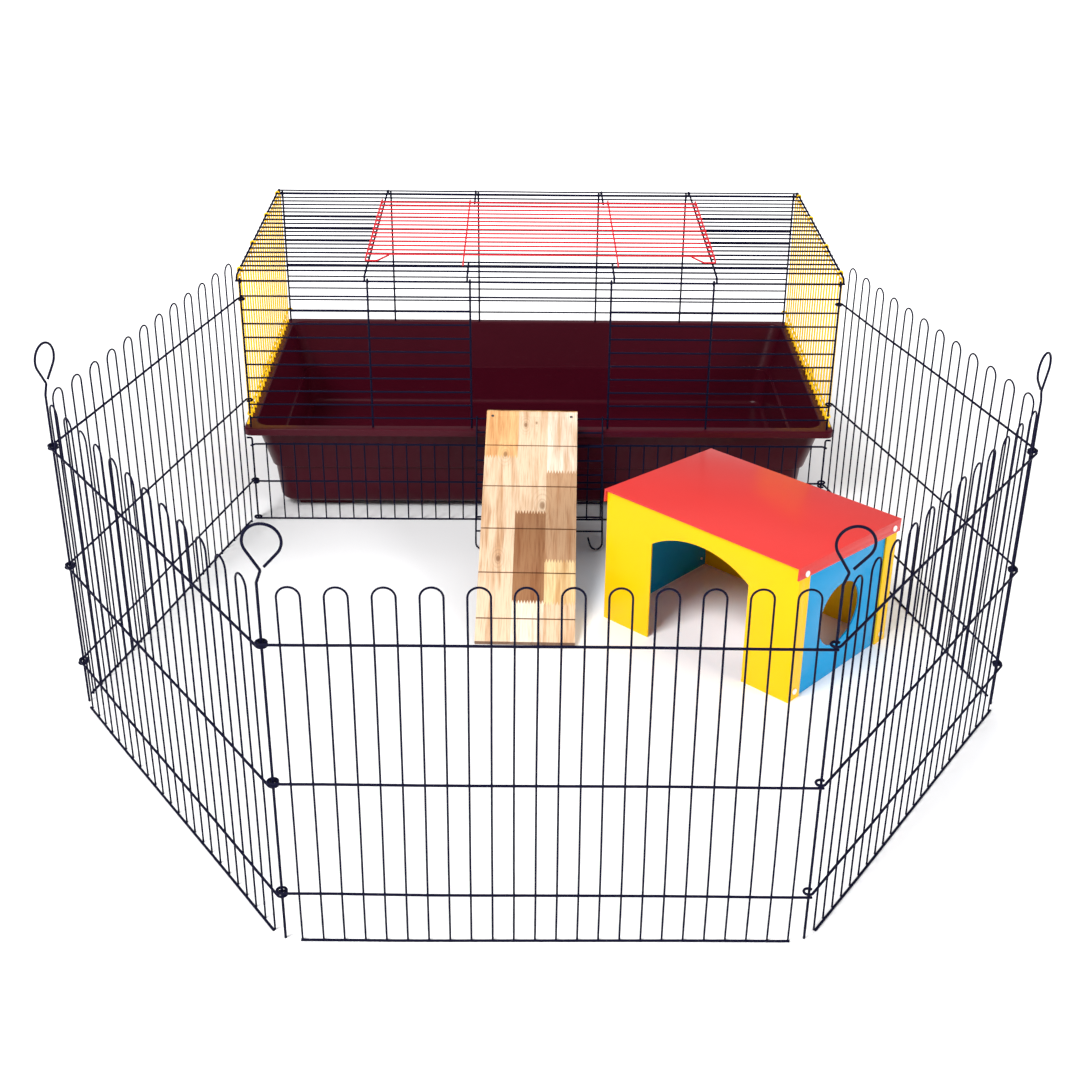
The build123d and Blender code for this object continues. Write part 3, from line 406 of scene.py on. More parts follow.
class Wirework:
    """Gathers the rows of wires and the welds of one sub-part."""

    def __init__(self, name, material, bow=1.0, caged=True):
        self.name, self.material = name, material
        self.sizes = bpy.context.scene.playpen_wires
        self.coat = self.sizes.coat if caged else self.sizes.run_coat
        self.bow = self.sizes.bow * bow
        self.meshes, self.welds = [], []

    def row(self, path, diameter, count=1, step=(0, 0, 0)):
        """A wire along a path, repeated at a step."""
        points = divided(path)
        line = bpy.data.meshes.new("path")
        line.from_pydata(points, [(i, i + 1) for i in range(len(points) - 1)], [])
        values = {
            "Count": count, "Step": tuple(step), "Diameter": diameter + 2 * self.coat,
            "Sides": self.sizes.sides, "Bow": self.bow, "Material": self.material}
        self.meshes.append(grown(line, bpy.data.node_groups["wire_row"], values))

    def weld(self, xs, ys, zs):
        """Beads at every crossing of these places."""
        self.welds += [(x, y, z) for x in xs for y in ys for z in zs]

    def piece(self, place=None, turned=None):
        """The finished object."""
        if self.welds:
            spots = bpy.data.meshes.new("spots")
            spots.from_pydata(self.welds, [], [])
            values = {"Radius": self.sizes.nugget, "Bow": self.bow, "Material": self.material}
            self.meshes.append(grown(spots, bpy.data.node_groups["weld_nuggets"], values))
        piece = piece_of(self.name, self.meshes, self.material)
        if place is not None:
            piece.data.transform(place)
        if turned is not None:
            piece.data.transform(turned)
        return piece


def hand_over(piece, node, body):
    """Puts a piece in place of its CAD node."""
    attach(piece, body)
    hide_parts(node)


def span(count, first, step):
    """Evenly spaced places."""
    return [first + step * i for i in range(count)]


# ---------------------------------------------------------------- run
def panel_meshes(work, run, right_turn):
    """Fills in a panel from its left stake at the origin, its outer side to -Y."""
    wires = work.sizes
    first = run.length / 2 - run.spacing * (HAIRPINS - 1) / 2
    half = run.width / 2
    inner = -(wires.eye - (wires.cross + wires.hairpin) / 2 + wires.weld)
    spring = run.top - wires.hairpin / 2 - half
    turn = arc((first, inner, spring), half, 180, -180, along=UP, steps=14)
    hairpin = [(first - half, inner, 0)] + turn + [(first + half, inner, 0)]
    work.row(hairpin, wires.hairpin, HAIRPINS, (run.spacing, 0, 0))
    for height in run.rods:
        rod = arc((0, 0, 0), wires.eye, 270 - EYE_TURN, EYE_TURN)
        rod += arc((run.length, 0, 0), wires.eye, 270, right_turn)
        lean = [point + UP * (height + run.lift * (1 - 2 * point.x / run.length)) for point in rod]
        work.row(lean, wires.cross)
    end = first - half - wires.cross / 2
    level = wires.cross / 2
    work.row([(end, -wires.eye, level), (run.length - end, -wires.eye, level)], wires.cross)
    touch = (inner - wires.hairpin / 2 - wires.eye + wires.cross / 2) / 2
    for foot in span(HAIRPINS, first, run.spacing):
        for x in (foot - half, foot + half):
            for height in run.rods:
                work.weld([x], [touch], [height + run.lift * (1 - 2 * x / run.length)])
            work.weld([x], [touch], [level])


def between(start, end):
    """The matrix that carries a panel's own frame to its place between two stakes."""
    run = end - start
    return Matrix.Translation(start) @ Matrix.Rotation(math.atan2(run.y, run.x), 4, "Z")


def mirrored(point):
    """A place on the other side of the pen."""
    return Vector((-point.x, point.y, point.z))


class PLAYPEN_OT_run(bpy.types.Operator):
    """The five tall panels of the run"""
    bl_idname = "playpen.run"
    bl_label = "Run panels"

    def execute(self, context):
        run = context.scene.playpen_run
        panels = {
            "panel_left_rear": (mirrored(CORNER), mirrored(SIDE_STAKE), "left_rear_panel"),
            "panel_left_front": (mirrored(SIDE_STAKE), mirrored(FRONT_STAKE), "left_front_panel"),
            "panel_front": (mirrored(FRONT_STAKE), FRONT_STAKE, "gate_panel"),
            "panel_right_front": (FRONT_STAKE, SIDE_STAKE, "right_front_panel"),
            "panel_right_rear": (SIDE_STAKE, CORNER, "right_rear_panel")}
        for node, (start, end, body) in panels.items():
            work = Wirework(node + "_wires", navy_coat(), 2.0, False)
            panel_meshes(work, run, OPEN_EYE_TURN if node == "panel_front" else EYE_TURN)
            hand_over(work.piece(between(start, end)), node, body)
        return {"FINISHED"}


def stake_path(run):
    """A stake from its foot to its teardrop ring, the ring along +X."""
    neck = Vector((5 * MM, 0, 484 * MM))
    middle = Vector((8.5 * MM, 0, 517.5 * MM))
    gap, bend = 6 * MM, 4 * MM
    reach = (middle - neck).length
    lean = math.atan2(middle.x - neck.x, middle.z - neck.z)
    half = math.asin(run.ring / reach)
    length = reach * math.cos(half)

    def along(angle, distance):
        return neck + distance * Vector((math.sin(angle), 0, math.cos(angle)))

    up = along(lean - half, length)
    stem = rounded([(0, 0, 0), (0, 0, 470 * MM), neck, up], bend)
    start = math.degrees(math.atan2(up.z - middle.z, up.x - middle.x))
    ring = arc(middle, run.ring, start, -(180 + 2 * math.degrees(half)), along=UP, steps=36)
    return stem + ring + [along(lean + half, gap)]


class PLAYPEN_OT_stakes(bpy.types.Operator):
    """The four loose stakes that hinge the run's panels together"""
    bl_idname = "playpen.stakes"
    bl_label = "Stakes"

    def execute(self, context):
        places = {
            "stake_left": (mirrored(SIDE_STAKE), "left_stake"),
            "stake_front_left": (mirrored(FRONT_STAKE), "front_left_stake"),
            "stake_front_right": (FRONT_STAKE, "front_right_stake"),
            "stake_right": (SIDE_STAKE, "right_stake")}
        for node, (place, body) in places.items():
            work = Wirework(node + "_wire", navy_coat(), 0, False)
            work.row(stake_path(context.scene.playpen_run), work.sizes.cross)
            turn = Matrix.Rotation(math.radians(STAKE_TURNS[node]), 4, "Z")
            hand_over(work.piece(Matrix.Translation(place) @ turn), node, body)
        return {"FINISHED"}


class PLAYPEN_OT_skirt(bpy.types.Operator):
    """The low grille under the tray's front and its two pins"""
    bl_idname = "playpen.skirt"
    bl_label = "Skirt"

    def execute(self, context):
        run = context.scene.playpen_run
        work = Wirework("skirt_grille_wires", navy_coat(), 1.0, False)
        wires = work.sizes
        level = CORNER.y - wires.eye
        low, middle, top = run.skirt
        for height in (low, middle):
            rod = arc((-CORNER.x, CORNER.y, height), wires.eye, 270 - EYE_TURN, EYE_TURN)
            rod += arc((CORNER.x, CORNER.y, height), wires.eye, 270, EYE_TURN)
            work.row(rod, wires.cross)
        bend = CORNER.x - wires.eye
        slant = SKIRT_HOOK / math.sqrt(2)
        tip, front = bend + slant, level - slant
        ends = [(-tip, front, top), (-bend, level, top), (bend, level, top), (tip, front, top)]
        work.row(rounded(ends, wires.cross), wires.cross)
        inner = CORNER.y - (wires.eye - (wires.cross + wires.hairpin) / 2 + wires.weld)
        uprights = span(WIRES_ACROSS - 1, PITCH - CORNER.x, PITCH)
        post = [(uprights[0], inner, 0), (uprights[0], inner, top + wires.cross / 2)]
        work.row(post, wires.hairpin, WIRES_ACROSS - 1, (PITCH, 0, 0))
        work.weld(uprights, [(level + inner) / 2], run.skirt)
        hand_over(work.piece(), "skirt_grille", "base")
        for word, side in (("left", -1), ("right", 1)):
            pin = Wirework("skirt_pin_" + word + "_wire", navy_coat(), 1.0, False)
            x, height = side * CORNER.x, 152 * MM
            bends = [(x, CORNER.y, 0), (x, CORNER.y, height), (x + side * SKIRT_HOOK, CORNER.y, height)]
            pin.row(rounded(bends, wires.cross), wires.cross)
            hand_over(pin.piece(), "skirt_pin_" + word, "base")
        return {"FINISHED"}


# ---------------------------------------------------------------- cage top
def roof_row(row):
    """Where a roof wire lies; row 0 is next to the front edge."""
    return CORNER.y + (row + 1) * PITCH


def row_out(wires):
    """How far the cross wires' middles stand off the uprights' middles."""
    return (wires.cross + wires.thin) / 2 - wires.weld


def hook_height():
    """Height of the wires that the uprights hook over."""
    return SILL.z + FRONT_ROWS * PITCH


def end_grille(name, y, row_y, inward, doorway):
    """The front or rear grille; the front one leaves its doorway open."""
    work = Wirework(name + "_wires", navy_coat())
    wires = work.sizes
    inner, outer = BAR_X
    shoulder = hook_height()
    for x in (CORNER.x, outer, inner):
        hook = arc((-x, y + inward * wires.hook, shoulder), wires.hook, 180, -180,
                   across=Vector((0, inward, 0)), along=UP, steps=10)
        path = [(-x, y, RIM_TOP)] + hook + [(-x, y + 2 * inward * wires.hook, shoulder - HOOK_TAIL)]
        work.row(path, wires.cross, 2, (2 * x, 0, 0))
    end, frame_x = CORNER.x + WIRE_PAST, inner - WIRE_PAST
    height = SILL.z
    if doorway:
        work.row([(-end, row_y, height), (end, row_y, height)], wires.thin, 2,
                 (0, 0, (FRONT_ROWS - 1) * PITCH))
        for way in (-1, 1):
            wire = [(way * end, row_y, height + PITCH), (way * frame_x, row_y, height + PITCH)]
            work.row(wire, wires.thin, FRONT_ROWS - 2, (0, 0, PITCH))
    else:
        work.row([(-end, row_y, height), (end, row_y, height)], wires.thin, FRONT_ROWS, (0, 0, PITCH))
    spots = [way * x for x in (CORNER.x, outer, inner) for way in (-1, 1)]
    work.weld(spots, [(y + row_y) / 2], span(FRONT_ROWS, height, PITCH))
    hand_over(work.piece(), name, "base")


class PLAYPEN_OT_grilles(bpy.types.Operator):
    """The front grille with its doorway, and the rear grille"""
    bl_idname = "playpen.grilles"
    bl_label = "Front and rear grilles"

    def execute(self, context):
        out = row_out(context.scene.playpen_wires)
        end_grille("front_grille", CORNER.y, CORNER.y - out, 1, True)
        end_grille("rear_grille", CAGE_REAR, CAGE_REAR + out, -1, False)
        return {"FINISHED"}


def roof_bar(work, x, front_row, rear_row):
    """A bar of the roof, bent down at an edge that it reaches."""
    wires = work.sizes
    level = ROOF_HINGE.z - row_out(wires)
    foot = hook_height() + WIRE_PAST
    front, rear = CORNER.y + wires.hook, CAGE_REAR - wires.hook
    path = []
    if front_row is None:
        path += [(x, front, foot), (x, front, level)]
    else:
        path.append((x, roof_row(front_row) - wires.thin / 2, level))
    if rear_row is None:
        path += [(x, rear, level), (x, rear, foot)]
    else:
        path.append((x, roof_row(rear_row) + wires.thin / 2, level))
    work.row(rounded(path, level - foot - wires.weld), wires.cross)


def roof_side():
    """How far out the roof's edge bars stand."""
    return CORNER.x + 4.8 * MM


class PLAYPEN_OT_roof(bpy.types.Operator):
    """The cage's roof"""
    bl_idname = "playpen.roof"
    bl_label = "Roof grille"

    def execute(self, context):
        work = Wirework("roof_grille_wires", navy_coat())
        wires = work.sizes
        inner, outer = (x + ROOF_BAR_PAST for x in BAR_X)
        for x in (-roof_side(), -outer, outer, roof_side()):
            roof_bar(work, x, None, None)
        for x in (-inner, inner):
            roof_bar(work, x, None, DOOR_ROWS[0])
            roof_bar(work, x, DOOR_ROWS[1], None)
        end = roof_side() + WIRE_PAST
        edge = end + wires.cross / 2
        edge_run = CAGE_REAR - CORNER.y - 2 * wires.hook
        edge_y = CORNER.y + wires.hook
        work.row([(-edge, edge_y, hook_height()), (edge, edge_y, hook_height())], wires.cross, 2,
                 (0, edge_run, 0))
        level = ROOF_HINGE.z
        first, last = DOOR_ROWS
        rear_rows = WIRES_DEEP - 1 - last
        work.row([(-end, roof_row(0), level), (end, roof_row(0), level)], wires.thin, first + 1,
                 (0, PITCH, 0))
        work.row([(-end, roof_row(last), level), (end, roof_row(last), level)], wires.thin, rear_rows,
                 (0, PITCH, 0))
        frame_x = outer - WIRE_PAST
        for way in (-1, 1):
            wire = [(way * end, roof_row(first + 1), level), (way * frame_x, roof_row(first + 1), level)]
            work.row(wire, wires.thin, last - first - 1, (0, PITCH, 0))
        touch = level - row_out(wires) / 2
        rows = [roof_row(row) for row in range(WIRES_DEEP - 1)]
        work.weld([-roof_side(), -outer, outer, roof_side()], rows, [touch])
        work.weld([-inner, inner], rows[:first + 1] + rows[last:], [touch])
        hand_over(work.piece(), "roof_grille", "base")
        return {"FINISHED"}


def side_grille(word, side):
    """A yellow side of the cage, drawn for the right and mirrored for the left."""
    work = Wirework("side_grille_" + word + "_wires", yellow_coat())
    wires = work.sizes
    top, low = 428 * MM, 196 * MM
    rod_x = roof_side() + wires.hook - wires.thin + wires.weld
    wire_x = rod_x - wires.thin + wires.weld
    first = CORNER.y + PITCH / 2
    last = CAGE_REAR - PITCH / 2
    post = [(wire_x, first, RIM_TOP + wires.weld), (wire_x, first, top + wires.thin / 2)]
    work.row(post, wires.thin, WIRES_DEEP, (0, PITCH, 0))
    start, end = first - wires.thin, last + wires.thin
    work.row([(rod_x, start, top), (rod_x, end, top)], wires.thin)
    bottom_z = RIM_TOP + wires.bottom / 2
    bottom_x = wire_x + (wires.bottom + wires.thin) / 2 - wires.weld
    work.row([(bottom_x, start, bottom_z), (bottom_x, end, bottom_z)], wires.bottom)
    wrap = (wires.cross + wires.thin) / 2 + wires.gap
    out_x, in_x = CORNER.x + wrap, CORNER.x - wrap
    hooked = [
        (in_x, CORNER.y, low), (in_x, CORNER.y - wrap, low), (out_x, CORNER.y - wrap, low),
        (out_x, CAGE_REAR + wrap, low), (in_x, CAGE_REAR + wrap, low), (in_x, CAGE_REAR, low)]
    work.row(rounded(hooked, wrap - wires.weld), wires.thin)
    level = ROOF_HINGE.z - row_out(wires)
    for row in HOOK_ROWS:
        y = roof_row(row)
        over = arc((roof_side(), y, level), wires.hook, 0, 180, along=UP, steps=10)
        path = [(roof_side() + wires.hook, y, top - 2 * HOOK_TAIL)] + over
        work.row(path + [(roof_side() - wires.hook, y, level - HOOK_TAIL)], wires.thin)
    posts = span(WIRES_DEEP, first, PITCH)
    work.weld([(rod_x + wire_x) / 2], posts, [top])
    work.weld([(out_x + wire_x) / 2], posts, [low])
    piece = work.piece()
    if side < 0:
        piece.data.transform(Matrix.Scale(-1, 4, (1, 0, 0)))
        piece.data.flip_normals()
    hand_over(piece, "side_grille_" + word, "base")


class PLAYPEN_OT_sides(bpy.types.Operator):
    """The yellow sides of the cage"""
    bl_idname = "playpen.sides"
    bl_label = "Side grilles"

    def execute(self, context):
        side_grille("left", -1)
        side_grille("right", 1)
        return {"FINISHED"}


class PLAYPEN_OT_roof_door(bpy.types.Operator):
    """The red door in the roof"""
    bl_idname = "playpen.roof_door"
    bl_label = "Roof door"

    def execute(self, context):
        work = Wirework("roof_door_wires", red_coat())
        wires = work.sizes
        loop = wires.thin + wires.gap
        level = ROOF_HINGE.z + loop
        front = roof_row(DOOR_ROWS[0])
        side_x = BAR_X[1] + ROOF_BAR_PAST + (wires.cross + wires.thin) / 2 + 2 * wires.gap
        inner_x = 128 * MM
        across = Vector((0, 1, 0))
        for way in (-1, 1):
            x = way * side_x
            tip = front - 4 * MM
            latch = rounded([
                (x, ROOF_HINGE.y, level), (x, tip, level), (x - way * 20 * MM, tip, level),
                (x - way * 37 * MM, tip + 30 * MM, level)], 2 * wires.thin)
            ring = arc((x, ROOF_HINGE.y, ROOF_HINGE.z), loop, 90 - EYE_TURN, EYE_TURN, across, UP)
            work.row(ring + latch, wires.thin)
            x = way * inner_x
            tip = front - 17 * MM
            bar = rounded([(x, ROOF_HINGE.y, level), (x, tip, level), (x, tip, level - 2 * wires.thin)],
                          wires.thin)
            ring = arc((x, ROOF_HINGE.y, ROOF_HINGE.z), loop, 90 - EYE_TURN, EYE_TURN, across, UP)
            work.row(ring + bar, wires.thin)
        top = level + wires.thin - wires.weld
        first = roof_row(DOOR_ROWS[0] + 1)
        count = DOOR_ROWS[1] - DOOR_ROWS[0] - 1
        end = side_x + wires.thin / 2
        work.row([(-end, first, top), (end, first, top)], wires.thin, count, (0, PITCH, 0))
        work.weld([-side_x, -inner_x, inner_x, side_x], span(count, first, PITCH), [(top + level) / 2])
        hand_over(work.piece(), "roof_door", "roof_lid")
        return {"FINISHED"}


class PLAYPEN_OT_front_door(bpy.types.Operator):
    """The door of the cage's front, let down under the ramp"""
    bl_idname = "playpen.front_door"
    bl_label = "Front door"

    def execute(self, context):
        work = Wirework("front_door_wires", navy_coat())
        wires = work.sizes
        loop = wires.thin + wires.gap
        level = SILL.y + loop
        side_x, hook, back = 106 * MM, 24 * MM, 20 * MM
        top = SILL.z + 221 * MM
        for way in (-1, 1):
            x = way * side_x
            tip_x = x - way * hook
            latch = rounded([
                (x, level, SILL.z), (x, level, top), (tip_x + way * hook / 4, level, top),
                (tip_x, level, top - back)], 11 * MM, 8)
            ring = arc((x, SILL.y, SILL.z), loop, -EYE_TURN, EYE_TURN, Vector((0, 1, 0)), UP)
            work.row(ring + latch, wires.thin)
        inner = level + wires.thin - wires.weld
        end = side_x + wires.thin / 2
        count = 8
        work.row([(-end, inner, SILL.z + PITCH), (end, inner, SILL.z + PITCH)], wires.thin, count,
                 (0, 0, PITCH))
        work.weld([-side_x, side_x], [(inner + level) / 2], span(count, SILL.z + PITCH, PITCH))
        place = Matrix.Translation(SILL) @ Matrix.Rotation(math.radians(DOOR_OPEN), 4, "X")
        hand_over(work.piece(place @ Matrix.Translation(-SILL)), "front_door", "door")
        return {"FINISHED"}


# ---------------------------------------------------------------- tray
def outline(inset, height, corner, half_x, half_y, steps=10):
    """A rounded rectangle at one height, this far in from the rim's edge."""
    middle = Vector((0, CAGE_MIDDLE, height))
    x, y = half_x - inset - corner, half_y - inset - corner
    points = []
    for quarter, (way_x, way_y) in enumerate(((1, 1), (-1, 1), (-1, -1), (1, -1))):
        centre = middle + Vector((way_x * x, way_y * y, 0))
        points += arc(centre, corner, 90 * quarter, 90, steps=steps)
    return points


def tray_profile(tray):
    """The tray's section from its floor up the inside, over the rim and down the outside."""
    wall, bend = tray.wall, tray.bend
    top, over, under, floor = tray.insets
    ledge = RIM_TOP - wall
    low_lip = RIM_TOP - tray.lip
    corners = [
        (floor + wall, tray.foot + wall, bend), (under + wall, tray.step + wall, 1.5 * MM),
        (over + wall, tray.step + wall, 1.5 * MM), (top + wall, RIM_TOP, 3 * MM),
        (0, RIM_TOP, 2.2 * MM), (0, low_lip, 0.9 * MM), (wall, low_lip, 0.9 * MM),
        (wall, ledge, 0.9 * MM), (top, ledge, 3 * MM), (over, tray.step, 1.5 * MM),
        (under, tray.step, 1.5 * MM), (floor, tray.foot, bend + wall)]
    inside = 2.4 * bend
    path = [Vector((floor + wall + inside, tray.foot + wall, 0))]
    path += [Vector((inset, height, 0)) for inset, height, _ in corners]
    path.append(Vector((floor + wall + inside, tray.foot, 0)))
    section = [path[0]]
    for index, (_, _, radius) in enumerate(corners):
        bent = rounded(path[index:index + 3], radius, 6)
        section += bent[1:-1]
    return section + [path[-1]]


def shell(name, rings):
    """A closed skin through rings of points, capped at both ends."""
    skin = bmesh.new()
    loops = [[skin.verts.new(point) for point in ring] for ring in rings]
    size = len(rings[0])
    for low, high in zip(loops, loops[1:]):
        for i in range(size):
            skin.faces.new((low[i], low[(i + 1) % size], high[(i + 1) % size], high[i]))
    skin.faces.new(loops[0])
    skin.faces.new(loops[-1])
    bmesh.ops.remove_doubles(skin, verts=skin.verts, dist=1e-6)
    bmesh.ops.recalc_face_normals(skin, faces=skin.faces)
    mesh = bpy.data.meshes.new(name)
    skin.to_mesh(mesh)
    skin.free()
    return mesh


def soft_block(middle, size, radius, segments=4):
    """A block with rounded edges."""
    block = bmesh.new()
    bmesh.ops.create_cube(block, size=1, matrix=Matrix.Translation(middle) @ Matrix.Diagonal((*size, 1)))
    bmesh.ops.bevel(block, geom=block.edges, offset=radius, segments=segments, profile=0.5,
                    affect="EDGES", clamp_overlap=True)
    mesh = bpy.data.meshes.new("block")
    block.to_mesh(mesh)
    block.free()
    return mesh


def clip_ears(half_x):
    """The ears on the rim that hold the clips' pins."""
    width, gap, ear, radius = 16 * MM, 0.5 * MM, 3.5 * MM, 2.5 * MM
    ears = []
    for side in (-1, 1):
        for way in (-1, 1):
            y = CAGE_MIDDLE + way * (width / 2 + gap + ear / 2)
            reach = CLIP_AXIS.x - half_x + radius
            middle = Vector((side * (half_x + reach / 2 - 0.2 * MM), y, CLIP_AXIS.z))
            ears.append(soft_block(middle, (reach, ear, 2 * radius), 1.2 * MM))
    return ears


class PLAYPEN_OT_tray(bpy.types.Operator):
    """The moulded tray with its feet and the ears for the side clips"""
    bl_idname = "playpen.tray"
    bl_label = "Tray"

    def execute(self, context):
        tray = context.scene.playpen_tray
        half_x = CLIP_AXIS.x - tray.pin_out
        half_y = (TRAY_HIGH.y - TRAY_LOW.y) / 2
        rim_corner, wall_corner = 12 * MM, 26 * MM
        rings = []
        for point in tray_profile(tray):
            share = min(point.x / tray.insets[0], 1)
            corner = rim_corner + (wall_corner - rim_corner) * share
            rings.append(outline(point.x, point.y, corner, half_x, half_y))
        meshes = [shell("tray", rings)]
        foot_size = Vector((95 * MM, 42 * MM, tray.foot + 1 * MM))
        for way_x in (-1, 1):
            for way_y in (-1, 1):
                x = way_x * (half_x - 124 * MM)
                y = CAGE_MIDDLE + way_y * (half_y - 88 * MM)
                middle = Vector((x, y, foot_size.z / 2))
                meshes.append(soft_block(middle, foot_size, 3 * MM))
        meshes += clip_ears(half_x)
        piece = piece_of("moulded_tray", meshes, tray_plastic(), math.radians(50))
        hand_over(piece, "tray", "base")
        return {"FINISHED"}


# ---------------------------------------------------------------- softened copies of hard parts
def softened(name, node, material, width, segments=3):
    """A copy of a CAD node with merged faces and rounded edges."""
    skin = bmesh.new()
    skin.from_mesh(frame["nodes"][node].data)
    bmesh.ops.remove_doubles(skin, verts=skin.verts, dist=1e-6)
    bmesh.ops.dissolve_limit(skin, angle_limit=math.radians(1), verts=skin.verts, edges=skin.edges)
    mesh = bpy.data.meshes.new(name)
    skin.to_mesh(mesh)
    skin.free()
    mesh.materials.clear()
    mesh.materials.append(material)
    piece = bpy.data.objects.new(name, mesh)
    bpy.context.scene.collection.objects.link(piece)
    bevel = piece.modifiers.new("edges", "BEVEL")
    bevel.width = width
    bevel.segments = segments
    bevel.limit_method = "ANGLE"
    bevel.angle_limit = math.radians(30)
    bevel.harden_normals = False
    bpy.context.view_layer.update()
    made = bpy.data.meshes.new_from_object(piece.evaluated_get(bpy.context.evaluated_depsgraph_get()))
    piece.modifiers.clear()
    piece.data = made
    made.shade_smooth()
    made.set_sharp_from_angle(angle=math.radians(40))
    return piece


class PLAYPEN_OT_clips(bpy.types.Operator):
    """The side clips and their pins"""
    bl_idname = "playpen.clips"
    bl_label = "Side clips"

    def execute(self, context):
        for word in ("left", "right"):
            clip = softened("clip_" + word, "tray_clip_" + word, clip_plastic(), 0.35 * MM)
            hand_over(clip, "tray_clip_" + word, word + "_clip")
            pin = softened("pin_" + word, "clip_pin_" + word, bare_steel(), 0.2 * MM)
            hand_over(pin, "clip_pin_" + word, "base")
        return {"FINISHED"}


class PLAYPEN_OT_house(bpy.types.Operator):
    """The folded sheet house with its screws"""
    bl_idname = "playpen.house"
    bl_label = "House"

    def execute(self, context):
        sheets = {
            "house_front": (yellow_sheet, "sheet_yellow"), "house_back": (yellow_sheet, "sheet_yellow"),
            "house_side_left": (blue_sheet, "sheet_blue"), "house_side_right": (blue_sheet, "sheet_blue"),
            "house_roof": (red_sheet, "sheet_red"), "house_screws": (screw_paint, "screw_white")}
        for node, (finish, slot) in sheets.items():
            piece = softened(node + "_formed", node, finish(), 0.5 * MM)
            hand_over(piece, node, "house")
        return {"FINISHED"}


def lay_grain(piece, ramp):
    """Stores each vertex's place on the board: across, along and through it."""
    lie = Matrix.Rotation(-ramp.turn, 4, "Z") @ Matrix.Rotation(ramp.slope, 4, "X")
    back = lie.inverted()
    places = [back @ vertex.co for vertex in piece.data.vertices]
    low = Vector([min(place[i] for place in places) for i in range(3)])
    layer = piece.data.attributes.new("board_place", "FLOAT_VECTOR", "POINT")
    for item, place in zip(layer.data, places):
        item.vector = place - low


class PLAYPEN_OT_ramp(bpy.types.Operator):
    """The ramp's board, batten and nails"""
    bl_idname = "playpen.ramp"
    bl_label = "Ramp"

    def execute(self, context):
        ramp = context.scene.playpen_ramp
        pieces = {
            "ramp_board": (pine(ramp), 0.6 * MM, "ramp_wood"),
            "ramp_batten": (batten_wood(), 0.6 * MM, "batten_wood"),
            "ramp_nails": (nail_steel(), 0.15 * MM, "nail_steel")}
        for node, (material, width, slot) in pieces.items():
            piece = softened(node + "_worked", node, material, width)
            lay_grain(piece, ramp)
            hand_over(piece, node, "ramp")
        return {"FINISHED"}


# ---------------------------------------------------------------- finishes
def surface_group():
    """Colour drift, uneven gloss and a fine relief that every coat shares."""
    sockets = [
        ("Tint", "NodeSocketColor"), ("Drift", "NodeSocketFloat"), ("Patch", "NodeSocketFloat"),
        ("Relief", "NodeSocketFloat"), ("Gloss", "NodeSocketFloat"), ("Scuff", "NodeSocketFloat")]
    results = [
        ("Colour", "NodeSocketColor"), ("Roughness", "NodeSocketFloat"), ("Height", "NodeSocketFloat")]
    tree, given, result = new_group("coat_surface", "ShaderNodeTree", sockets, results)
    place = add(tree, "ShaderNodeTexCoord").outputs["Object"]
    patches = noise(tree, place, given["Patch"], 4.0, 0.6)["Fac"]
    spread = reckon(tree, "MULTIPLY", reckon(tree, "SUBTRACT", patches, 0.5), given["Drift"])
    lift = reckon(tree, "ADD", spread, 1.0)
    shade = add(tree, "ShaderNodeHueSaturation", {"Color": given["Tint"], "Value": lift}).outputs[0]
    marks = noise(tree, stretched(tree, place, (1.0, 1.0, 6.0)), 60.0, 8.0, 0.75)["Fac"]
    scuffs = reckon(tree, "MULTIPLY", ramped(tree, marks, 0.6, 0.75), given["Scuff"])
    tree.links.new(mixed(tree, scuffs, shade, (0.8, 0.8, 0.8, 1.0)), result["Colour"])
    fine = noise(tree, place, given["Relief"], 2.0)["Fac"]
    rough = reckon(tree, "ADD", given["Gloss"], reckon(tree, "MULTIPLY", patches, 0.12))
    rougher = reckon(tree, "ADD", rough, reckon(tree, "MULTIPLY", scuffs, 2.0))
    tree.links.new(rougher, result["Roughness"])
    tree.links.new(fine, result["Height"])
    return tree


def coat(name, tint, gloss, relief, depth, patch=14.0, drift=0.25, scuff=0.02, shine=0.3, metal=0.0):
    """A material of one coat: the shared surface over a Principled shader."""
    known = bpy.data.materials.get(name)
    if known:
        return known
    material = bpy.data.materials.new(name)
    material.use_nodes = True
    tree = material.node_tree
    shader = tree.nodes["Principled BSDF"]
    group = bpy.data.node_groups.get("coat_surface") or surface_group()
    skin = add(tree, "ShaderNodeGroup", node_tree=group)
    values = {"Tint": (*tint, 1.0), "Drift": drift, "Patch": patch, "Relief": relief, "Gloss": gloss,
              "Scuff": scuff}
    for key, value in values.items():
        skin.inputs[key].default_value = value
    bump = add(tree, "ShaderNodeBump",
               {"Height": skin.outputs["Height"], "Distance": depth, "Strength": 0.6})
    tree.links.new(skin.outputs["Colour"], shader.inputs["Base Color"])
    tree.links.new(skin.outputs["Roughness"], shader.inputs["Roughness"])
    tree.links.new(bump.outputs[0], shader.inputs["Normal"])
    shader.inputs["Metallic"].default_value = metal
    shader.inputs["Specular IOR Level"].default_value = shine
    return material


def colours():
    """The colours in use."""
    return bpy.context.scene.playpen_colours


def navy_coat():
    return coat("navy_powder_coat", colours().navy, 0.42, 900.0, 0.05 * MM, shine=0.06)


def yellow_coat():
    return coat("yellow_powder_coat", colours().yellow, 0.34, 900.0, 0.05 * MM, drift=0.12, shine=0.15)


def red_coat():
    return coat("red_powder_coat", colours().red, 0.3, 900.0, 0.05 * MM, drift=0.12, shine=0.25)


def tray_plastic():
    return coat("moulded_plastic", colours().plastic, 0.24, 260.0, 0.04 * MM, 5.0, 0.3, 0.02, 0.14)


def clip_plastic():
    return coat("clip_plastic", colours().plastic, 0.26, 600.0, 0.03 * MM, 20.0, 0.2, 0.03, 0.14)


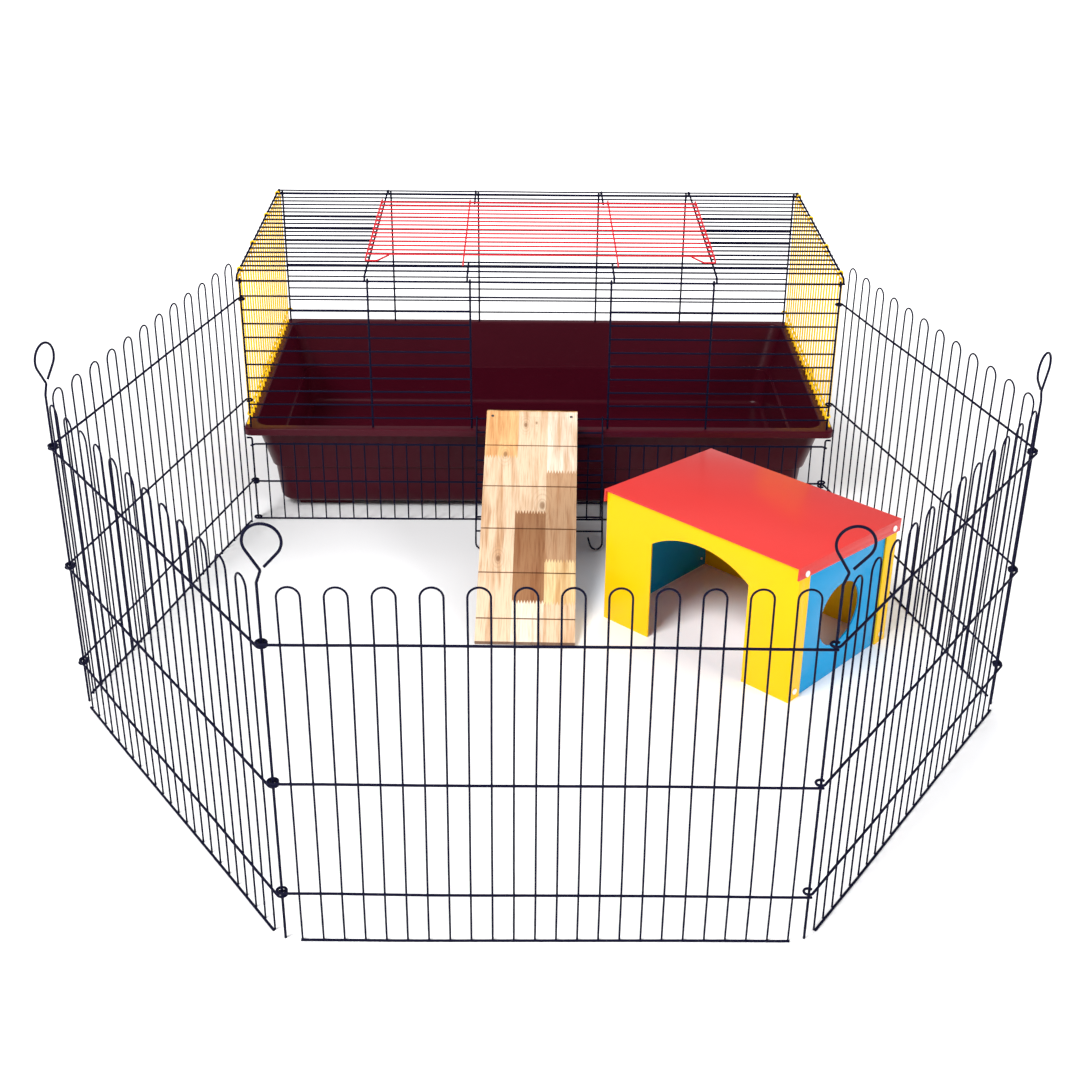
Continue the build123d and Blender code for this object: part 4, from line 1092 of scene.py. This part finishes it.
def yellow_sheet():
    return coat("yellow_gloss_paint", colours().house_yellow, 0.18, 300.0, 0.02 * MM, 6.0, 0.08, 0.0, 0.14)


def blue_sheet():
    return coat("blue_gloss_paint", colours().house_blue, 0.16, 300.0, 0.02 * MM, 6.0, 0.08, 0.0, 0.16)


def red_sheet():
    return coat("red_gloss_paint", colours().house_red, 0.14, 300.0, 0.02 * MM, 6.0, 0.1, 0.0, 0.22)


def screw_paint():
    return coat("white_screw_paint", colours().white, 0.25, 500.0, 0.03 * MM, 40.0, 0.15, 0.05)


def nail_steel():
    return coat("nail_steel", colours().nail, 0.4, 1200.0, 0.03 * MM, 60.0, 0.3, 0.0, metal=0.6)


def bare_steel():
    return coat("bare_steel", colours().steel, 0.25, 1200.0, 0.03 * MM, 60.0, 0.3, 0.0, metal=1.0)


# ---------------------------------------------------------------- wood
# the board's laminated blocks: from and to across it, from and to along it, tint, in metres
PALE = (0.76, 0.57, 0.39, 1.0)
CREAM = (0.84, 0.72, 0.58, 1.0)
HONEY = (0.82, 0.62, 0.33, 1.0)
AMBER = (0.80, 0.47, 0.21, 1.0)
TAN = (0.52, 0.31, 0.17, 1.0)
BROWN = (0.33, 0.155, 0.065, 1.0)
STRIPS = (0.0, 0.054, 0.103, 0.16)
BLOCKS = (
    (0, 0.0, 0.363, PALE), (0, 0.363, 0.48, AMBER),
    (1, 0.0, 0.073, CREAM), (1, 0.073, 0.248, BROWN), (1, 0.248, 0.48, PALE),
    (2, 0.0, 0.071, PALE), (2, 0.071, 0.152, HONEY), (2, 0.152, 0.332, TAN), (2, 0.332, 0.48, CREAM))
KNOTS = ((0.066, 0.432, 0.005), (0.084, 0.437, 0.003), (0.034, 0.368, 0.006), (0.03, 0.155, 0.006),
         (0.097, 0.262, 0.008))


def block_group():
    """1 inside a block, 0 outside it."""
    inputs = [(name, "NodeSocketFloat") for name in ("Across", "Along", "Left", "Right", "Foot", "Head")]
    results = [("Inside", "NodeSocketFloat")]
    tree, given, result = new_group("finger_block", "ShaderNodeTree", inputs, results)
    checks = [
        reckon(tree, "GREATER_THAN", given["Across"], given["Left"]),
        reckon(tree, "LESS_THAN", given["Across"], given["Right"]),
        reckon(tree, "GREATER_THAN", given["Along"], given["Foot"]),
        reckon(tree, "LESS_THAN", given["Along"], given["Head"])]
    inside = checks[0]
    for check in checks[1:]:
        inside = reckon(tree, "MULTIPLY", inside, check)
    tree.links.new(inside, result["Inside"])
    return tree


def knot_group():
    """A knot: a dark middle with rings round it, drawn out along the grain."""
    inputs = [("Place", "NodeSocketVector"), ("Middle", "NodeSocketVector"), ("Radius", "NodeSocketFloat")]
    tree, given, result = new_group("pine_knot", "ShaderNodeTree", inputs, [("Dark", "NodeSocketFloat")])
    away = add(tree, "ShaderNodeVectorMath", {0: given["Place"], 1: given["Middle"]}, operation="SUBTRACT")
    flat = stretched(tree, away.outputs[0], (1.0, 0.55, 0.0))
    distance = add(tree, "ShaderNodeVectorMath", {0: flat}, operation="LENGTH").outputs["Value"]
    share = reckon(tree, "DIVIDE", distance, given["Radius"])
    core = ramped(tree, share, 0.35, 0.75, 1.0, 0.0)
    rings = reckon(tree, "SINE", reckon(tree, "MULTIPLY", share, 9.0))
    halo = reckon(tree, "MULTIPLY", ramped(tree, rings, 0.0, 1.0), ramped(tree, share, 0.5, 3.0, 0.4, 0.0))
    tree.links.new(reckon(tree, "MAXIMUM", core, halo), result["Dark"])
    return tree


def grain_group():
    """Fine lines along a board and slow streaks, from a place on the board."""
    inputs = [("Place", "NodeSocketVector"), ("Seed", "NodeSocketFloat")]
    results = [("Lines", "NodeSocketFloat"), ("Streaks", "NodeSocketFloat")]
    tree, given, result = new_group("wood_grain", "ShaderNodeTree", inputs, results)
    shift = add(tree, "ShaderNodeCombineXYZ", {"X": given["Seed"], "Y": given["Seed"]}).outputs[0]
    place = add(tree, "ShaderNodeVectorMath", {0: given["Place"], 1: shift}, operation="ADD").outputs[0]
    lines = noise(tree, stretched(tree, place, (700.0, 22.0, 300.0)), 1.0, 4.0, 0.6)["Fac"]
    streaks = noise(tree, stretched(tree, place, (90.0, 7.0, 60.0)), 1.0, 3.0, 0.55)["Fac"]
    tree.links.new(lines, result["Lines"])
    tree.links.new(streaks, result["Streaks"])
    return tree


def wood(name, draw):
    """A wooden material; draw gives its colour from the tree, a place on the board and its grain."""
    material = bpy.data.materials.new(name)
    material.use_nodes = True
    tree = material.node_tree
    shader = tree.nodes["Principled BSDF"]
    place = add(tree, "ShaderNodeAttribute", attribute_name="board_place").outputs["Vector"]
    split = add(tree, "ShaderNodeSeparateXYZ", {0: place}).outputs
    grain_tree = bpy.data.node_groups.get("wood_grain") or grain_group()
    base, seed = draw(tree, place, split)
    grain = add(tree, "ShaderNodeGroup", {}, node_tree=grain_tree)
    tree.links.new(place, grain.inputs["Place"])
    tree.links.new(seed, grain.inputs["Seed"])
    darker = mixed(tree, ramped(tree, grain.outputs["Streaks"], 0.45, 0.68, 0.0, 0.75), base,
                   (0.62, 0.38, 0.2, 1.0), "MULTIPLY")
    lined = mixed(tree, ramped(tree, grain.outputs["Lines"], 0.5, 0.72, 0.0, 0.7), darker,
                  (0.55, 0.34, 0.2, 1.0), "MULTIPLY")
    tree.links.new(lined, shader.inputs["Base Color"])
    rough = ramped(tree, grain.outputs["Lines"], 0.2, 0.8, 0.5, 0.72)
    tree.links.new(rough, shader.inputs["Roughness"])
    bump = add(tree, "ShaderNodeBump",
               {"Height": grain.outputs["Lines"], "Distance": 0.12 * MM, "Strength": 0.7})
    tree.links.new(bump.outputs[0], shader.inputs["Normal"])
    return material


def pine(ramp):
    """Finger-jointed pine strips, each block with its own tint, and painted shade darkening the grooves."""
    def draw(tree, place, split):
        wave = reckon(tree, "PINGPONG", split["X"], ramp.pitch / 2)
        shift = reckon(tree, "MULTIPLY", reckon(tree, "SUBTRACT", wave, ramp.pitch / 4),
                       4 * ramp.finger / ramp.pitch)
        along = reckon(tree, "ADD", split["Y"], shift)
        colour = add(tree, "ShaderNodeRGB").outputs[0]
        colour.default_value = PALE
        seed = reckon(tree, "ADD", 0.0, 0.0)
        group = block_group()
        for index, (strip, foot, head, tint) in enumerate(BLOCKS):
            block = add(tree, "ShaderNodeGroup", node_tree=group)
            tree.links.new(split["X"], block.inputs["Across"])
            tree.links.new(along, block.inputs["Along"])
            limits = {"Left": STRIPS[strip], "Right": STRIPS[strip + 1], "Foot": foot, "Head": head}
            for key, value in limits.items():
                block.inputs[key].default_value = value if value else -1.0
            colour = mixed(tree, block.outputs[0], colour, tint)
            seed = reckon(tree, "ADD", seed, reckon(tree, "MULTIPLY", block.outputs[0], 0.37 * (index + 1)))
        knots = knot_group()
        for across, up, radius in KNOTS:
            knot = add(tree, "ShaderNodeGroup", node_tree=knots)
            tree.links.new(place, knot.inputs["Place"])
            knot.inputs["Middle"].default_value = (across, up, 0.0)
            knot.inputs["Radius"].default_value = radius
            share = reckon(tree, "MULTIPLY", knot.outputs[0], 0.75)
            colour = mixed(tree, share, colour, (0.22, 0.1, 0.035, 1.0))
        # painted shade: faces below 8.6 mm on the board, the groove bottoms, are mixed towards dark brown
        # to stand for the shade in the grooves
        sunk = reckon(tree, "LESS_THAN", split["Z"], 8.6 * MM)
        painted_groove_shade = reckon(tree, "MULTIPLY", sunk, 0.85)
        return mixed(tree, painted_groove_shade, colour, (0.13, 0.045, 0.01, 1.0)), seed
    return wood("finger_jointed_pine", draw)


def batten_wood():
    """The plain darker strip under the ramp's head."""
    def draw(tree, place, split):
        drift = noise(tree, stretched(tree, place, (30.0, 60.0, 60.0)), 1.0)["Fac"]
        share = ramped(tree, drift, 0.4, 0.62)
        seed = reckon(tree, "ADD", 0.0, 0.0)
        return mixed(tree, share, (0.62, 0.4, 0.18, 1.0), (0.24, 0.12, 0.045, 1.0)), seed
    return wood("batten_pine", draw)


# ---------------------------------------------------------------- stage
def area_light(name, place, target, size, power, glossy=True):
    """A soft square light aimed at a place; it may be left out of reflections."""
    lamp = bpy.data.lights.new(name, "AREA")
    lamp.energy, lamp.size = power, size
    light = bpy.data.objects.new(name, lamp)
    light.location = place
    light.visible_glossy = glossy
    light.rotation_euler = (Vector(target) - Vector(place)).to_track_quat("-Z", "Y").to_euler()
    bpy.context.scene.collection.objects.link(light)


class PLAYPEN_OT_stage(bpy.types.Operator):
    """The floor, lights and camera"""
    bl_idname = "playpen.stage"
    bl_label = "Stage"

    def execute(self, context):
        self.camera(context)
        floor = bpy.data.meshes.new("studio_floor")
        reach = 30.0
        corners = [(-reach, -reach, 0), (reach, -reach, 0), (reach, reach, 0), (-reach, reach, 0)]
        floor.from_pydata(corners, [], [(0, 1, 2, 3)])
        floor.materials.append(self.paper())
        ground = bpy.data.objects.new("studio_floor", floor)
        context.scene.collection.objects.link(ground)
        world = bpy.data.worlds.new("studio")
        world.use_nodes = True
        seen = add(world.node_tree, "ShaderNodeLightPath").outputs["Is Camera Ray"]
        strength = ramped(world.node_tree, seen, 0.0, 1.0, 0.3, 1.1)
        sky = world.node_tree.nodes["Background"]
        sky.inputs["Color"].default_value = (1.0, 1.0, 1.0, 1.0)
        world.node_tree.links.new(strength, sky.inputs["Strength"])
        context.scene.world = world
        area_light("key_softbox", (-2.4, -2.8, 4.0), (0, 0, 0.1), 2.0, 300)
        area_light("rear_softbox", (1.2, 3.6, 3.4), (0, 0.4, 0.1), 2.6, 110, glossy=False)
        area_light("right_softbox", (3.4, -2.4, 2.2), (0.2, 0, 0.1), 1.8, 110, glossy=False)
        context.scene.view_settings.view_transform = "Standard"
        return {"FINISHED"}

    def camera(self, context):
        """The camera, from its place and its three angles."""
        stage = context.scene.playpen_stage
        ahead = Vector((math.sin(stage.yaw) * math.cos(stage.pitch),
                        math.cos(stage.yaw) * math.cos(stage.pitch), -math.sin(stage.pitch)))
        right = Vector((math.cos(stage.yaw), -math.sin(stage.yaw), 0))
        up = right.cross(ahead)
        side = math.cos(stage.roll) * right + math.sin(stage.roll) * up
        top = -math.sin(stage.roll) * right + math.cos(stage.roll) * up
        lens = bpy.data.cameras.new("camera")
        lens.lens, lens.sensor_width = stage.lens, 36.0
        camera = bpy.data.objects.new("camera", lens)
        turn = Matrix((side, top, -ahead)).transposed().to_4x4()
        camera.matrix_world = Matrix.Translation(Vector(stage.eye)) @ turn
        context.scene.collection.objects.link(camera)
        context.scene.camera = camera

    def paper(self):
        """White studio paper with a faint unevenness, lit up behind the pen."""
        material = coat("studio_paper", (0.93, 0.93, 0.94), 0.6, 40.0, 0.02 * MM, 0.6, 0.02, 0.0)
        tree = material.node_tree
        place = add(tree, "ShaderNodeTexCoord").outputs["Object"]
        away = add(tree, "ShaderNodeVectorMath", {0: place}, operation="LENGTH").outputs["Value"]
        shader = tree.nodes["Principled BSDF"]
        shader.inputs["Emission Color"].default_value = (1.0, 1.0, 1.0, 1.0)
        tree.links.new(ramped(tree, away, 0.9, 2.6, 0.0, 0.9), shader.inputs["Emission Strength"])
        return material


class PLAYPEN_PT_sidebar(bpy.types.Panel):
    """Buttons that build the playpen's pieces"""
    bl_idname = "PLAYPEN_PT_sidebar"
    bl_label = "Pet playpen"
    bl_space_type = "VIEW_3D"
    bl_region_type = "UI"
    bl_category = "Playpen"

    def draw(self, context):
        for operator in OPERATORS:
            self.layout.operator(operator.bl_idname)
        for name, group in SETTINGS.items():
            box = self.layout.box()
            for field in group.__annotations__:
                box.prop(getattr(context.scene, name), field)


OPERATORS = (
    PLAYPEN_OT_stage, PLAYPEN_OT_run, PLAYPEN_OT_stakes, PLAYPEN_OT_skirt, PLAYPEN_OT_grilles,
    PLAYPEN_OT_roof, PLAYPEN_OT_sides, PLAYPEN_OT_roof_door, PLAYPEN_OT_front_door, PLAYPEN_OT_tray,
    PLAYPEN_OT_clips, PLAYPEN_OT_house, PLAYPEN_OT_ramp)
SETTINGS = {
    "playpen_wires": PlaypenWires, "playpen_run": PlaypenRun, "playpen_tray": PlaypenTray,
    "playpen_ramp": PlaypenRamp, "playpen_colours": PlaypenColours, "playpen_stage": PlaypenStage}


def register():
    for group in SETTINGS.values():
        bpy.utils.register_class(group)
    for name, group in SETTINGS.items():
        setattr(bpy.types.Scene, name, PointerProperty(type=group))
    for operator in OPERATORS:
        bpy.utils.register_class(operator)
    bpy.utils.register_class(PLAYPEN_PT_sidebar)


def unregister():
    bpy.utils.unregister_class(PLAYPEN_PT_sidebar)
    for operator in reversed(OPERATORS):
        bpy.utils.unregister_class(operator)
    for name in SETTINGS:
        delattr(bpy.types.Scene, name)
    for group in reversed(list(SETTINGS.values())):
        bpy.utils.unregister_class(group)


def main():
    """Builds the whole pen."""
    register()
    wire_row_tree()
    nugget_tree()
    for operator in OPERATORS:
        family, name = operator.bl_idname.split(".")
        getattr(getattr(bpy.ops, family), name)()


if __name__ == "__main__":
    main()
